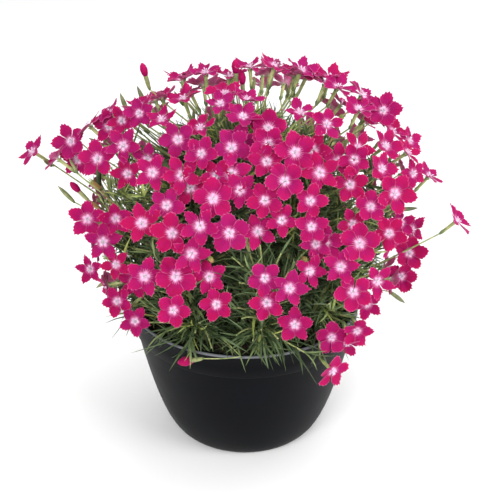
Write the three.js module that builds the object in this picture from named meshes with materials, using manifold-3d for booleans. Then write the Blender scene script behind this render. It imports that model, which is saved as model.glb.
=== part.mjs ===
// A potted dianthus in full flower. Millimetres, +Z up, origin under the middle of the pot.
// Pot and soil are turned shapes. The plant is a rule: flowers are set over the canopy's surface and
// gathered into bunches whose petals meet. Clumps of shoots, each with a leafy core, carry them on stalks.

import * as THREE from 'three';
import { mergeVertices } from 'three/addons/utils/BufferGeometryUtils.js';
import Module from 'manifold-3d';

const wasm = await Module();
wasm.setup();

// ---- driving dimensions ----

const clearance = 0.3; // between any two pieces that touch

const pot = {
  height: 112,
  rimRadius: 90,
  collarDepth: 20,
  collarStep: 1.6,
  wallUnderCollar: 86.5,
  baseRadius: 54,
  wall: 2.2,
  floor: 3,
  drainHole: 8,
  drainCircle: 30,
  drainHoles: 4,
  sides: 28,
};

const soil = { top: 103, crownDepth: 10, sides: 20 };

const canopy = {
  middle: 196, // height of the widest level
  radius: 124, // out to the flowers' eyes, at the widest level
  above: 95,
  below: 135,
  skirt: 104, // flowers below the rim's level hang this far out
  lowest: 88,
};

const flower = {
  size: 13.6, // from eye to petal tip
  sizeSpread: 0.12,
  notch: 0.6, // between two petals, of the size
  notchSpread: 0.05,
  rise: 0.17, // how far the petal tips stand above the eye, of the size
  depth: 2.6, // thickness under the eye
  eyeDip: 0.9,
  calyx: 15,
  calyxTop: 1.9,
  calyxFoot: 1.45,
};

const bunch = { count: 40, stagger: 6.5, layers: 3, near: 56, tip: 0.95, rim: 0.86, innermost: 0.4 };

// Clumps of shoots in rings: where each stands, where the top of its leafy core is, and the core's radius.
const clumpRings = [
  { count: 1, out: 0, topOut: 0, topHeight: 238, core: 23 },
  { count: 4, out: 30, topOut: 56, topHeight: 206, core: 18 },
  { count: 9, out: 60, topOut: 83, topHeight: 160, core: 20 },
];
const crown = { radius: 4, stand: 3 };
const stalk = { radius: 0.45, slope: 0.8, lowest: 0.32, highest: 0.93 };

const leaf = {
  length: 34,
  width: 3.2,
  thick: 0.9,
  perClump: 9,
  overRim: 18, // leaves that hang over the pot's rim
  tries: 12, // ways tried for a leaf that meets something
};
const bud = { radius: 1.7, length: 17 };

// The near side is laid out by eye from one standing point, level with the plant's middle and above it.
const stand = { distance: 775, elevation: 27, aim: 152, sheet: 1000 };

// Flowers of the near side: right and up, in mm on a sheet held 1 m from the standing point,
// and how far the flower turns to the front (0 follows the canopy, 1 looks at the standing point).
const nearFlowers = [
  // top of the head, seen from the side
  [-24, 143, 0.1], [17, 179, -0.1], [-88, 168, -0.1], [-60, 183, 0], [-42, 176, 0.1], [-61, 156, 0.1],
  [-20, 155, 0], [-17, 178, 0.1], [30, 173, -0.1], [38, 188, 0.1], [56, 184, 0], [75, 183, -0.1],
  [93, 178, 0.1], [73, 164, 0], [98, 154, 0], [117, 160, -0.1], [107, 137, 0.15], [143, 136, 0.2],
  [11, 155, -0.1], [51, 142, 0.15], [-1, 132, 0.15], [-45, 122, 0.15], [-77, 128, 0.15],
  // upper left
  [-108, 142, 0], [-108, 129, 1], [-121, 126, 1], [-147, 139, 0], [-157, 128, 0], [-139, 119, 1],
  [-166, 105, 1], [-170, 85, 1], [-183, 103, 0], [-144, 87, 1], [-120, 103, 1], [-100, 95, 1],
  [-121, 78, 1], [-85, 75, 1], [-62, 104, 1], [-48, 95, 1],
  // upper middle
  [-2, 113, 1], [109, 83, 1], [-66, 76, 1], [-38, 80, 1], [-47, 68, 1], [-22, 63, 1],
  [-17, 103, 1], [10, 113, 1], [20, 123, 1], [36, 101, 1], [49, 95, 1], [19, 88, 1],
  [36, 69, 1], [1, 56, 1], [23, 57, 1],
  // upper right
  [82, 122, 1], [133, 146, 0.7], [69, 103, 1], [93, 90, 1], [70, 75, 1], [117, 98, 0.5],
  [156, 92, 0.4], [136, 110, 0.5], [165, 108, 0.3], [152, 124, 0.3], [145, 57, 1], [127, 45, 1],
  [166, 62, 0.5], [133, 80, 0.5], [162, 76, 0.5], [107, 68, 1],
  // left
  [-131, 31, 1], [-152, 26, 1], [-143, 11, 1], [-132, -12, 1], [-158, -15, 1], [-97, -26, 1],
  [-114, -34, 1], [-126, -49, 1], [-108, -69, 1],
  // middle
  [-89, 36, 1], [-75, 41, 1], [59, -27, 0.5], [-50, 1, 0.5], [-32, 46, 1], [-43, 25, 1],
  [-70, 18, 1], [-26, 21, 0.5], [-69, -12, 1], [6, 20, 1], [31, 31, 1], [-34, -31, 1],
  [20, -29, 1], [28, -47, 1], [44, -37, 1], [-75, -58, 1], [-29, -67, 1], [50, -75, 1],
  // right
  [65, 47, 1], [63, 31, 1], [72, 5, 1], [90, 0, 1], [114, 3, 1], [116, 30, 1],
  [142, 18, 1], [173, -2, 1], [185, 14, 0.6], [97, -18, 1], [104, -34, 1], [126, -27, 1],
  [125, -50, 1], [160, -36, 1], [112, -75, 0.7], [103, -100, 0.6], [84, -92, 1], [157, 32, 0.8],
];

// Single flowers that stand out from the rest, laid out the same way, and how far each lifts its face.
const loneFlowers = [[-213, 99, 0.3, 0.3], [213, 30, 0.3, 0.9], [185, 75, 0.3, 1.1]];
const loneIndex = 300; // number of the first of them

// Unopened buds, by their tips, laid out the same way.
const budMarks = [
  [-102, 183], [-108, 164], [-125, 157], [-3, 175], [-10, 186], [-187, 64], [-172, 65],
  [173, 42], [-149, -38], [168, -39], [160, -53],
];
const budIndex = 340; // number of the first of them

// One more flower and one more bud lie before the pot; their stalks bend over its rim.
const overRim = {
  flower: { place: [63, -92, 101], way: [0.5, -0.86, -0.12], bend: [53.9, -76.4, 115.2] },
  bud: { place: [-45, -86, 105.5], way: [-0.86, 0.3, -0.36], bend: [-3, -93.5, 115] },
};

const farSpacing = { near: 27.5, far: 22.6 }; // from a far flower to a near one, and to the next far one
const farPoints = 264; // places tried there
const farIndex = 400; // number of the first of them

const colours = { pot: 0x24252b, soil: 0x2e2420, shoots: 0x5f7a45, blooms: 0xd5106a };

// ---- small tools ----

// A repeatable draw between 0 and 1 for item i, use k.
function draw(i, k) {
  const s = Math.sin(i * 127.1 + k * 311.7) * 43758.5453;
  return s - Math.floor(s);
}

function spread(i, k) {
  return draw(i, k) * 2 - 1;
}

function point(x, y, z) {
  return new THREE.Vector3(x, y, z);
}

function along(from, direction, distance) {
  return from.clone().addScaledVector(direction, distance);
}

function mix(a, b, t) {
  return a.clone().lerp(b, t);
}

function unit(vector) {
  return vector.clone().normalize();
}

// A unit vector square to the axis, as near to the wish as it can be.
function squareTo(axis, wish) {
  const flat = wish.clone().addScaledVector(axis, -wish.dot(axis));
  if (flat.length() < 1e-4) {
    flat.set(axis.z, axis.x, axis.y);
    flat.addScaledVector(axis, -flat.dot(axis));
  }
  return flat.normalize();
}

function solidFrom(points, faces) {
  const vertProperties = new Float32Array(points.flatMap((p) => [p.x, p.y, p.z]));
  const triVerts = new Uint32Array(faces.flat());
  return new wasm.Manifold(new wasm.Mesh({ numProp: 3, vertProperties, triVerts }));
}

// A closed three.js geometry as a solid, without the flat triangles that a turned shape has on its axis.
function solidOf(geometry) {
  geometry.deleteAttribute('normal');
  geometry.deleteAttribute('uv');
  const merged = mergeVertices(geometry, 1e-4);
  const place = merged.attributes.position;
  const points = [];
  for (let i = 0; i < place.count; i += 1) {
    points.push(point(place.getX(i), place.getY(i), place.getZ(i)));
  }
  const faces = [];
  for (let i = 0; i < merged.index.count; i += 3) {
    const [a, b, c] = [0, 1, 2].map((k) => merged.index.getX(i + k));
    if (a !== b && b !== c && c !== a) {
      faces.push([a, b, c]);
    }
  }
  return solidFrom(points, faces);
}

function joined(solids) {
  return solids.length === 1 ? solids[0] : wasm.Manifold.union(solids);
}

// The largest body of a solid: loose scraps are dropped.
function mainBody(solid) {
  const bodies = solid.decompose();
  return bodies.reduce((best, body) => (body.volume() > best.volume() ? body : best));
}

function meshOf(solid, name, colour, roughness) {
  const { vertProperties, triVerts, numProp } = solid.getMesh();
  const place = new Float32Array((vertProperties.length / numProp) * 3);
  for (let i = 0; i < place.length / 3; i += 1) {
    place.set(vertProperties.slice(i * numProp, i * numProp + 3), i * 3);
  }
  const geometry = new THREE.BufferGeometry();
  geometry.setAttribute('position', new THREE.BufferAttribute(place, 3));
  geometry.setIndex(new THREE.BufferAttribute(new Uint32Array(triVerts), 1));
  geometry.computeVertexNormals();
  const material = new THREE.MeshStandardMaterial({ color: colour, roughness, metalness: 0 });
  const mesh = new THREE.Mesh(geometry, material);
  mesh.name = name;
  return mesh;
}

// ---- pot and soil ----

// A profile of [radius, height] pairs turned round the upright axis.
function turned(profile, sides) {
  const outline = profile.map(([radius, height]) => new THREE.Vector2(radius, height));
  const geometry = new THREE.LatheGeometry(outline, sides);
  geometry.rotateX(Math.PI / 2);
  return solidOf(geometry);
}

// The outer wall from the base up to the collar: round at the bottom, then nearly straight.
function potWall() {
  const collarFoot = pot.height - pot.collarDepth;
  const outline = [];
  for (const t of [0, 0.05, 0.2, 0.52, 1]) {
    const belly = Math.pow(t, 0.42);
    const flare = 0.35 * belly + 0.65 * Math.pow(t, 0.62);
    outline.push([pot.baseRadius + (pot.wallUnderCollar - pot.baseRadius) * flare, collarFoot * t]);
  }
  return outline;
}

function makePot() {
  const wallLine = potWall();
  const collarFoot = pot.height - pot.collarDepth;
  const outer = [
    ...wallLine,
    [pot.wallUnderCollar + pot.collarStep, collarFoot + 0.6],
    [pot.rimRadius, pot.height - 1.5],
    [pot.rimRadius - 0.6, pot.height],
  ];
  const lip = [[pot.rimRadius - 5, pot.height]];
  const inner = wallLine.slice(1).reverse().map(([radius, height]) => [radius - pot.wall, height + 0.4]);
  const floorEdge = [inner.at(-1)[0] - 4, pot.floor];
  const body = turned([[0, 0], ...outer, ...lip, ...inner, floorEdge, [0, pot.floor]], pot.sides);
  const holes = [];
  for (let i = 0; i < pot.drainHoles; i += 1) {
    const hole = new THREE.CylinderGeometry(pot.drainHole / 2, pot.drainHole / 2, pot.floor + 4, 8);
    hole.rotateX(Math.PI / 2);
    const turn = ((i + 0.5) / pot.drainHoles) * Math.PI * 2;
    hole.translate(Math.cos(turn) * pot.drainCircle, Math.sin(turn) * pot.drainCircle, pot.floor / 2);
    holes.push(solidOf(hole));
  }
  return body.subtract(joined(holes));
}

// The clumps of shoots: where each stands in the soil, and its core's axis and radius.
function makeClumps() {
  const clumps = [];
  for (const [ringIndex, ring] of clumpRings.entries()) {
    for (let i = 0; i < ring.count; i += 1) {
      const turn = ((i + 0.5 * ringIndex) / ring.count) * Math.PI * 2;
      const way = point(Math.cos(turn), Math.sin(turn), 0);
      const foot = way.clone().multiplyScalar(ring.out).setZ(soil.top);
      const top = way.clone().multiplyScalar(ring.topOut).setZ(ring.topHeight);
      clumps.push({ foot, top, core: ring.core, index: clumps.length });
    }
  }
  return clumps;
}

function makeSoil(clumps) {
  const gap = pot.wall + clearance + 0.4; // the inner wall's flats lie a little inside its corners
  const wallLine = potWall().slice(1).map(([radius, height]) => [radius - gap, height + 0.8]);
  const side = wallLine.filter(([, height]) => height < soil.top - 3);
  const top = [[pot.wallUnderCollar - gap - 0.6, soil.top - 3], [pot.wallUnderCollar - gap - 6, soil.top]];
  const foot = [[0, pot.floor + clearance], [side[0][0] - 5, pot.floor + clearance]];
  const body = turned([...foot, ...side, ...top, [0, soil.top]], soil.sides);
  const holeRadius = (crown.radius + clearance) / Math.cos(Math.PI / 6);
  const holes = clumps.map(({ foot: place }) => {
    const hole = new THREE.CylinderGeometry(holeRadius, holeRadius, soil.crownDepth + 10, 6);
    hole.rotateX(Math.PI / 2);
    hole.translate(place.x, place.y, soil.top - soil.crownDepth / 2 + 5);
    return solidOf(hole);
  });
  return body.subtract(joined(holes));
}

// ---- where the flowers are ----

const upright = point(0, 0, 1);
const lean = THREE.MathUtils.degToRad(stand.elevation);
const sight = point(0, Math.cos(lean), -Math.sin(lean));
const sightUp = point(0, Math.sin(lean), Math.cos(lean));
const standPoint = along(point(0, 0, stand.aim), sight, -stand.distance);

// How far out the flowers' eyes lie at a height.
function canopyRadius(height) {
  const reach = height > canopy.middle ? canopy.above : canopy.below;
  const share = Math.min(Math.abs(height - canopy.middle) / reach, 1);
  const round = canopy.radius * Math.sqrt(1 - share * share);
  return height < canopy.lowest || height > canopy.middle ? round : Math.max(round, canopy.skirt);
}

// The canopy's outward direction at a place.
function outward(place) {
  const reach = place.z > canopy.middle ? canopy.above : canopy.below;
  const rise = ((place.z - canopy.middle) / reach) * (canopy.radius / reach);
  return unit(point(place.x / canopy.radius, place.y / canopy.radius, rise));
}

// The place on the canopy that a sheet mark covers, or beside the canopy where the line passes it by.
function seenPlace([right, up]) {
  const mark = point(right, 0, 0).addScaledVector(sight, stand.sheet).addScaledVector(sightUp, up);
  const line = unit(mark);
  const beside = -standPoint.y / line.y;
  for (let distance = beside - 190; distance < beside; distance += 0.5) {
    const place = along(standPoint, line, distance);
    if (Math.hypot(place.x, place.y) < canopyRadius(place.z)) {
      return place;
    }
  }
  return along(standPoint, line, beside);
}

// A flower; a low one faces down enough for its calyx to rise over the pot's rim.
function makeFlower(place, turnToStand, index) {
  const out = outward(place);
  const toStand = unit(standPoint.clone().sub(place));
  const jitter = point(spread(index, 1), spread(index, 2), spread(index, 3)).multiplyScalar(0.2);
  const facing = out.multiplyScalar(1 - 0.75 * turnToStand).addScaledVector(toStand, 0.9 * turnToStand);
  facing.add(jitter).normalize();
  const steepest = Math.max((place.z - pot.height - 4) / (flower.depth + flower.calyx), -0.85);
  if (facing.z > steepest) {
    const level = Math.sqrt((1 - steepest * steepest) / (1 - facing.z * facing.z));
    facing.set(facing.x * level, facing.y * level, steepest);
  }
  const wish = point(spread(index, 5), spread(index, 9), spread(index, 10));
  const size = flower.size * (1 + flower.sizeSpread * spread(index, 4));
  return { place, facing, ahead: squareTo(facing, wish), near: index < farIndex, size, index };
}

function turnedTo(one, way) {
  const facing = unit(way);
  return { ...one, facing, ahead: squareTo(facing, one.ahead) };
}

function laidOver({ place, way, bend }, index) {
  return { ...turnedTo(makeFlower(point(...place), 0, index), point(...way)), bend: point(...bend) };
}

// Flowers of the far side: a spiral over the canopy, kept where the near side's flowers leave room.
function farFlowers(nearOnes) {
  const kept = [];
  const goldenTurn = Math.PI * (3 - Math.sqrt(5));
  for (let i = 0; i < farPoints; i += 1) {
    const level = 1 - 1.62 * ((i + 0.5) / farPoints);
    const reach = level > 0 ? canopy.above : canopy.below;
    const height = canopy.middle + reach * level + 3 * spread(i, 11);
    const turn = i * goldenTurn + 0.12 * spread(i, 12);
    const radius = canopyRadius(height) + 2 * spread(i, 13);
    const place = point(Math.cos(turn) * radius, Math.sin(turn) * radius, height);
    const hidden = outward(place).dot(unit(standPoint.clone().sub(place))) < 0.12;
    const room = nearOnes.every((other) => other.place.distanceTo(place) > farSpacing.near)
      && kept.every((other) => other.place.distanceTo(place) > farSpacing.far);
    if (hidden && room) {
      kept.push(makeFlower(place, 0, farIndex + i));
    }
  }
  return kept;
}

// ---- bunches ----

function centreOf(members) {
  const sum = members.reduce((total, one) => total.add(one.place), point(0, 0, 0));
  return sum.divideScalar(members.length);
}

// Share the flowers out to the nearest of a number of centres, and centre those again, a few times.
function gather(flowers) {
  const goldenTurn = Math.PI * (3 - Math.sqrt(5));
  let centres = [];
  for (let i = 0; i < bunch.count; i += 1) {
    const level = 1 - 1.55 * ((i + 0.5) / bunch.count);
    const radius = canopy.radius * Math.sqrt(1 - level * level);
    const height = canopy.middle + (level > 0 ? canopy.above : canopy.below) * level;
    centres.push(point(Math.cos(i * goldenTurn) * radius, Math.sin(i * goldenTurn) * radius, height));
  }
  let groups = [];
  for (let round = 0; round < 6; round += 1) {
    groups = centres.map(() => []);
    for (const one of flowers) {
      const distances = centres.map((centre) => centre.distanceTo(one.place));
      groups[distances.indexOf(Math.min(...distances))].push(one);
    }
    groups = groups.filter((group) => group.length > 0);
    centres = groups.map(centreOf);
  }
  return groups;
}

// How far a petal's face stands above the eye's plane, at a distance from the eye.
function petalRise(one, distance) {
  const share = distance / one.size;
  return flower.rise * one.size * share * share;
}

// The rim's corners round one flower, as [turn, reach]: a tip and a notch for each petal.
function rimCorners(one) {
  const notch = flower.notch + flower.notchSpread * spread(one.index, 6);
  const corners = [];
  for (let petal = 0; petal < 5; petal += 1) {
    const turn = (petal / 5) * Math.PI * 2;
    corners.push([turn, one.size], [turn + Math.PI / 5, notch * one.size]);
  }
  return corners;
}

// How far the rim lies from the eye, in a direction.
function rimReach(one, direction) {
  const side = one.facing.clone().cross(one.ahead);
  const turn = (Math.atan2(direction.dot(side), direction.dot(one.ahead)) + Math.PI * 2) % (Math.PI * 2);
  const corners = rimCorners(one);
  corners.push([Math.PI * 2, one.size]);
  const next = corners.findIndex(([cornerTurn]) => cornerTurn >= turn);
  const [turnA, reachA] = corners[Math.max(next - 1, 0)];
  const [turnB, reachB] = corners[Math.max(next, 1)];
  return (reachA * reachB * Math.sin(turnB - turnA))
    / (reachA * Math.sin(turn - turnA) + reachB * Math.sin(turnB - turn));
}

// Tuck a flower under its neighbour, until the tip of one petal is inside the neighbour's petal.
function tuckUnder(one, neighbour) {
  const across = neighbour.place.clone().sub(one.place);
  one.ahead = squareTo(one.facing, across);
  const reach = bunch.tip * one.size;
  const tip = along(along(one.place, one.ahead, reach), one.facing, petalRise(one, reach));
  const back = squareTo(neighbour.facing, across.clone().negate());
  const apart = Math.abs(across.dot(back));
  const rim = rimReach(neighbour, back);
  const inward = THREE.MathUtils.clamp(apart - reach, bunch.innermost * neighbour.size, bunch.rim * rim);
  const halfThick = 0.5 * flower.depth * (1 - inward / rim);
  const height = petalRise(neighbour, inward) - halfThick;
  const seat = along(along(neighbour.place, back, inward), neighbour.facing, height);
  one.place = one.place.clone().add(seat.sub(tip));
}

// How far a low flower has to move out to hang clear of the pot's rim.
function offRim(one) {
  const needed = pot.rimRadius + 3 + one.size * Math.abs(one.facing.z);
  return one.place.z - one.size < pot.height ? needed - Math.hypot(one.place.x, one.place.y) : 0;
}

function shiftAll(members, shift) {
  for (const one of members) {
    one.place = one.place.clone().add(shift);
  }
}

// Bunches alternate in depth, so that the petals of one pass over those of the next.
function settle(groups) {
  const settled = [];
  for (const members of groups) {
    const centre = centreOf(members);
    const beside = settled.filter((other) => other.centre.distanceTo(centre) < bunch.near);
    const layers = Array.from({ length: bunch.layers }, (_, layer) => layer);
    const load = layers.map((layer) => beside.filter((other) => other.layer === layer).length);
    const layer = load.indexOf(Math.min(...load));
    members.sort((a, b) => a.place.distanceTo(centre) - b.place.distanceTo(centre));
    for (const one of members) {
      const way = one.near ? unit(standPoint.clone().sub(one.place)) : outward(one.place);
      const low = one.place.z < pot.height + flower.size;
      one.place = along(one.place, way, Math.max(layer - 1, low ? 0 : -1) * bunch.stagger);
    }
    const before = centreOf(members);
    for (const [rank, one] of members.entries()) {
      const placed = members.slice(0, rank);
      if (placed.length > 0) {
        const gaps = placed.map((other) => other.place.distanceTo(one.place));
        tuckUnder(one, placed[gaps.indexOf(Math.min(...gaps))]);
      }
    }
    shiftAll(members, before.sub(centreOf(members)));
    const away = unit(point(centre.x, centre.y, 0));
    shiftAll(members, away.multiplyScalar(Math.max(0, ...members.map(offRim))));
    settled.push({ members, centre, layer });
  }
  return settled;
}

// ---- solids of the plant ----

// One flower: a lens whose rim is drawn out into five petals.
function flowerSolid(one, grow = 0) {
  const side = one.facing.clone().cross(one.ahead);
  const points = [
    along(one.place, one.facing, grow - flower.eyeDip),
    along(one.place, one.facing, -flower.depth - grow),
  ];
  for (const [turn, reach] of rimCorners(one)) {
    const outer = along(one.place, one.ahead, Math.cos(turn) * (reach + grow));
    outer.addScaledVector(side, Math.sin(turn) * (reach + grow));
    points.push(outer.addScaledVector(one.facing, petalRise(one, reach) + grow / 4));
  }
  const faces = [];
  const rim = points.length - 2;
  for (let i = 0; i < rim; i += 1) {
    faces.push([0, 2 + i, 2 + ((i + 1) % rim)]);
    faces.push([1, 2 + ((i + 1) % rim), 2 + i]);
  }
  return solidFrom(points, faces);
}

// A rod through rings of { at, wide, thick }; it ends in a point where the last ring has no width.
function rodSolid(rings, sides, wish = point(0.3, 0.2, 1)) {
  const points = [];
  const faces = [];
  const pointed = rings.at(-1).wide === 0;
  const full = pointed ? rings.length - 1 : rings.length;
  let across = wish;
  for (let i = 0; i < full; i += 1) {
    const axis = unit(rings[Math.min(i + 1, rings.length - 1)].at.clone().sub(rings[Math.max(i - 1, 0)].at));
    across = squareTo(axis, across);
    const other = axis.clone().cross(across);
    for (let k = 0; k < sides; k += 1) {
      const turn = (k / sides) * Math.PI * 2;
      const place = along(rings[i].at, across, Math.cos(turn) * rings[i].thick);
      points.push(place.addScaledVector(other, Math.sin(turn) * rings[i].wide));
    }
  }
  for (let i = 0; i + 1 < full; i += 1) {
    for (let k = 0; k < sides; k += 1) {
      const [a, b] = [i * sides + k, i * sides + ((k + 1) % sides)];
      faces.push([a, b, b + sides], [a, b + sides, a + sides]);
    }
  }
  for (let k = 1; k + 1 < sides; k += 1) {
    faces.push([0, k + 1, k]);
  }
  const last = (full - 1) * sides;
  if (pointed) {
    points.push(rings.at(-1).at);
    for (let k = 0; k < sides; k += 1) {
      faces.push([last + k, last + ((k + 1) % sides), points.length - 1]);
    }
  } else {
    for (let k = 1; k + 1 < sides; k += 1) {
      faces.push([last, last + k, last + k + 1]);
    }
  }
  return solidFrom(points, faces);
}

function round(at, radius) {
  return { at, wide: radius, thick: radius };
}

// Where a flower's stalk leaves its clump's axis: lower than the flower by a slope.
function stalkFoot(one, clump) {
  const level = one.place.z - stalk.slope * Math.hypot(one.place.x - clump.top.x, one.place.y - clump.top.y);
  const share = (level - clump.foot.z) / (clump.top.z - clump.foot.z);
  return mix(clump.foot, clump.top, THREE.MathUtils.clamp(share, stalk.lowest, stalk.highest));
}

function bendRings(one, grow) {
  return one.bend ? [round(one.bend, stalk.radius + grow)] : [];
}

// The stalk and calyx under a flower; over the pot's rim where the flower hangs beside it.
function stalkRings(one, clump, grow) {
  const top = along(one.place, one.facing, -flower.depth - clearance - 0.05);
  const foot = along(top, one.facing, -flower.calyx);
  foot.z = one.bend ? foot.z : Math.max(foot.z, pot.height + 2.5);
  return [
    round(stalkFoot(one, clump), stalk.radius + grow),
    ...bendRings(one, grow),
    round(foot, flower.calyxFoot + grow),
    round(top, flower.calyxTop + grow),
  ];
}

// A bud on its stalk, from its tip down.
function budRings(one, clump, grow) {
  return [
    round(stalkFoot(one, clump), stalk.radius + grow),
    ...bendRings(one, grow),
    round(along(one.place, one.facing, -bud.length), flower.calyxFoot * 0.8 + grow),
    round(along(one.place, one.facing, -bud.length * 0.35), bud.radius + grow),
    round(along(one.place, one.facing, grow), 0),
  ];
}

// The radius of a clump's leafy core, at a share of its axis.
const coreShape = [[0.3, 0.7], [0.72, 1], [1, 0.5]];

function clumpSolids(clump, { members, buds }, grow = 0) {
  const base = along(clump.foot, upright, clearance - soil.crownDepth);
  const neck = along(clump.foot, upright, crown.stand);
  const rings = [round(base, crown.radius + grow), round(neck, crown.radius + grow)];
  for (const [share, width] of coreShape) {
    rings.push(round(mix(clump.foot, clump.top, share), width * clump.core + grow));
  }
  const solids = [rodSolid(rings, 6, point(0, -1, 0))];
  for (const one of members) {
    solids.push(rodSolid(stalkRings(one, clump, grow), 3));
  }
  for (const one of buds) {
    solids.push(rodSolid(budRings(one, clump, grow), 3));
  }
  return solids;
}

// A leaf's blade along its route: narrow at its root, widest in the middle, pointed.
function leafSolid([root, middle, tip]) {
  const rings = [
    { at: root, wide: leaf.width * 0.2, thick: leaf.thick * 0.55 },
    { at: middle, wide: leaf.width * 0.5, thick: leaf.thick * 0.55 },
    round(tip, 0),
  ];
  return rodSolid(rings, 3, upright);
}

// The route of an arching leaf: from its root between the axis and one side of it, then drooping.
function leafRoute(root, axis, side, { angle, length, droop }) {
  const start = unit(mix(axis, side, angle));
  const middle = along(root, start, length * 0.5);
  const ending = unit(start.clone().addScaledVector(side, 0.5).addScaledVector(upright, -droop));
  return [root, middle, along(middle, ending, length * 0.5)];
}

// A direction square to the axis, turned round it.
function turnedSide(axis, turn) {
  const east = squareTo(axis, point(1, 0.3, 0));
  const north = axis.clone().cross(east);
  return east.multiplyScalar(Math.cos(turn)).addScaledVector(north, Math.sin(turn));
}

// The routes that each leaf of a clump could take, best first: out of the core, on a spiral up it.
function leafChoices(clump) {
  const axis = unit(clump.top.clone().sub(clump.foot));
  const choices = [];
  for (let k = 0; k < leaf.perClump; k += 1) {
    const seed = 900 + clump.index * 40 + k;
    const share = 0.25 + (0.75 * (k + draw(seed, 1))) / leaf.perClump;
    const length = leaf.length * (0.8 + 0.4 * draw(seed, 2));
    const shape = { angle: 0.62 - 0.35 * share, length, droop: 0.35 };
    choices.push(Array.from({ length: leaf.tries }, (_, attempt) => {
      const side = turnedSide(axis, (k + 0.35 * draw(seed, 3) + 0.31 * attempt) * 2.4);
      const root = along(mix(clump.foot, clump.top, share), side, clump.core * (share > 0.9 ? 0.3 : 0.6));
      return Object.assign(leafRoute(root, axis, side, shape), { clump: clump.index });
    }));
  }
  return choices;
}

// Leaves that hang over the pot's rim, all round it.
function rimChoices(clumps) {
  const choices = [];
  for (let k = 0; k < leaf.overRim; k += 1) {
    const turn = ((k + 0.6 * draw(k, 51)) / leaf.overRim) * Math.PI * 2;
    const shape = { angle: 0.8, length: leaf.length * (1.1 + 0.2 * draw(k, 52)), droop: 1.2 };
    choices.push(Array.from({ length: leaf.tries }, (_, attempt) => {
      const way = turn + 0.06 * attempt * (attempt % 2 ? 1 : -1);
      const out = point(Math.cos(way), Math.sin(way), 0);
      const nearest = nearestClump(along(point(0, 0, pot.height), out, pot.rimRadius), clumps);
      const root = along(mix(nearest.foot, nearest.top, 0.35), out, nearest.core * 0.55);
      return Object.assign(leafRoute(root, upright, out, shape), { clump: nearest.index });
    }));
  }
  return choices;
}

// Points along a leaf's route, the first of them past its root.
function leafPoints([root, middle, tip]) {
  return [mix(root, middle, 0.25), mix(root, middle, 0.5), mix(root, middle, 0.75), middle,
    mix(middle, tip, 0.25), mix(middle, tip, 0.5), mix(middle, tip, 0.75), tip];
}

function offSegment(place, [from, to]) {
  const line = to.clone().sub(from);
  const share = THREE.MathUtils.clamp(place.clone().sub(from).dot(line) / line.lengthSq(), 0, 1);
  return place.distanceTo(along(from, line, share));
}

function offPetals(place, one) {
  const across = place.clone().sub(one.place);
  const height = across.dot(one.facing);
  const beyond = Math.sqrt(Math.max(across.lengthSq() - height * height, 0)) - one.size;
  const above = Math.max(height - flower.rise * one.size, -flower.depth - height);
  return Math.max(beyond, above);
}

// Clear of the pot and the soil: over the rim's top, or well outside it.
function offPot(place) {
  const radius = Math.hypot(place.x, place.y);
  const below = radius > pot.rimRadius - 8 ? pot.height : soil.top;
  return radius > pot.rimRadius + leaf.width || place.z > below + 2;
}

function isClear(route, rods, flowers, leaves) {
  const gap = leaf.width / 2 + clearance;
  const offRod = (place, i, rod) => (i < rod.spare && rod.clump === route.clump)
    || offSegment(place, rod.line) > gap + rod.radius;
  return leafPoints(route).every((place, i) => offPot(place)
    && flowers.every((one) => offPetals(place, one) > gap)
    && rods.every((rod) => offRod(place, i, rod))
    && (i < 1 || leaves.every((other) => other.every((spot) => spot.distanceTo(place) > 2 * gap))));
}

// ---- the plant ----

const nearOnes = nearFlowers.map((mark, i) => makeFlower(seenPlace(mark), mark[2], i));
const loneOnes = loneFlowers.map((mark, i) => {
  const one = makeFlower(seenPlace(mark), mark[2], loneIndex + i);
  return turnedTo(one, along(one.facing, upright, mark[3]));
});
loneOnes.push(laidOver(overRim.flower, loneIndex + loneOnes.length));
const allFlowers = [...nearOnes, ...farFlowers([...nearOnes, ...loneOnes])];
const bunches = settle(gather(allFlowers));
for (const one of loneOnes) {
  bunches.push({ members: [one], centre: one.place, layer: 0 });
}

const clumps = makeClumps();
const buds = budMarks.map((mark, i) => {
  const one = makeFlower(seenPlace(mark), 0, budIndex + i);
  if (one.place.z > canopy.middle) {
    one.facing.add(upright).normalize();
  }
  return one;
});
buds.push(laidOver(overRim.bud, budIndex + buds.length));

// Each bunch grows from the clump that lies best under it.
function nearestClump(place, clumpList) {
  const distances = clumpList.map(({ foot, top }) => mix(foot, top, 0.75).distanceTo(place));
  return clumpList[distances.indexOf(Math.min(...distances))];
}

const carried = clumps.map(() => ({ members: [], buds: [] }));
for (const group of bunches) {
  carried[nearestClump(group.centre, clumps).index].members.push(...group.members);
}
for (const one of buds) {
  carried[nearestClump(one.place, clumps).index].buds.push(one);
}

const potSolid = makePot();
const soilSolid = makeSoil(clumps);
const shoots = clumps.map((clump) => mainBody(joined(clumpSolids(clump, carried[clump.index]))));
const shootRoom = joined(clumps.map((clump) => joined(clumpSolids(clump, carried[clump.index], clearance))));

// Petals give way to the stalks that pass them, and to the petals of the bunches before them.
const blooms = [];
for (const [i, group] of bunches.entries()) {
  let solid = joined(group.members.map((one) => flowerSolid(one))).subtract(shootRoom);
  for (const other of bunches.slice(0, i)) {
    const room = joined(other.members.map((one) => flowerSolid(one, clearance)));
    if (!solid.intersect(room).isEmpty()) {
      solid = solid.subtract(room);
    }
  }
  blooms.push(mainBody(solid));
}

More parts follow.
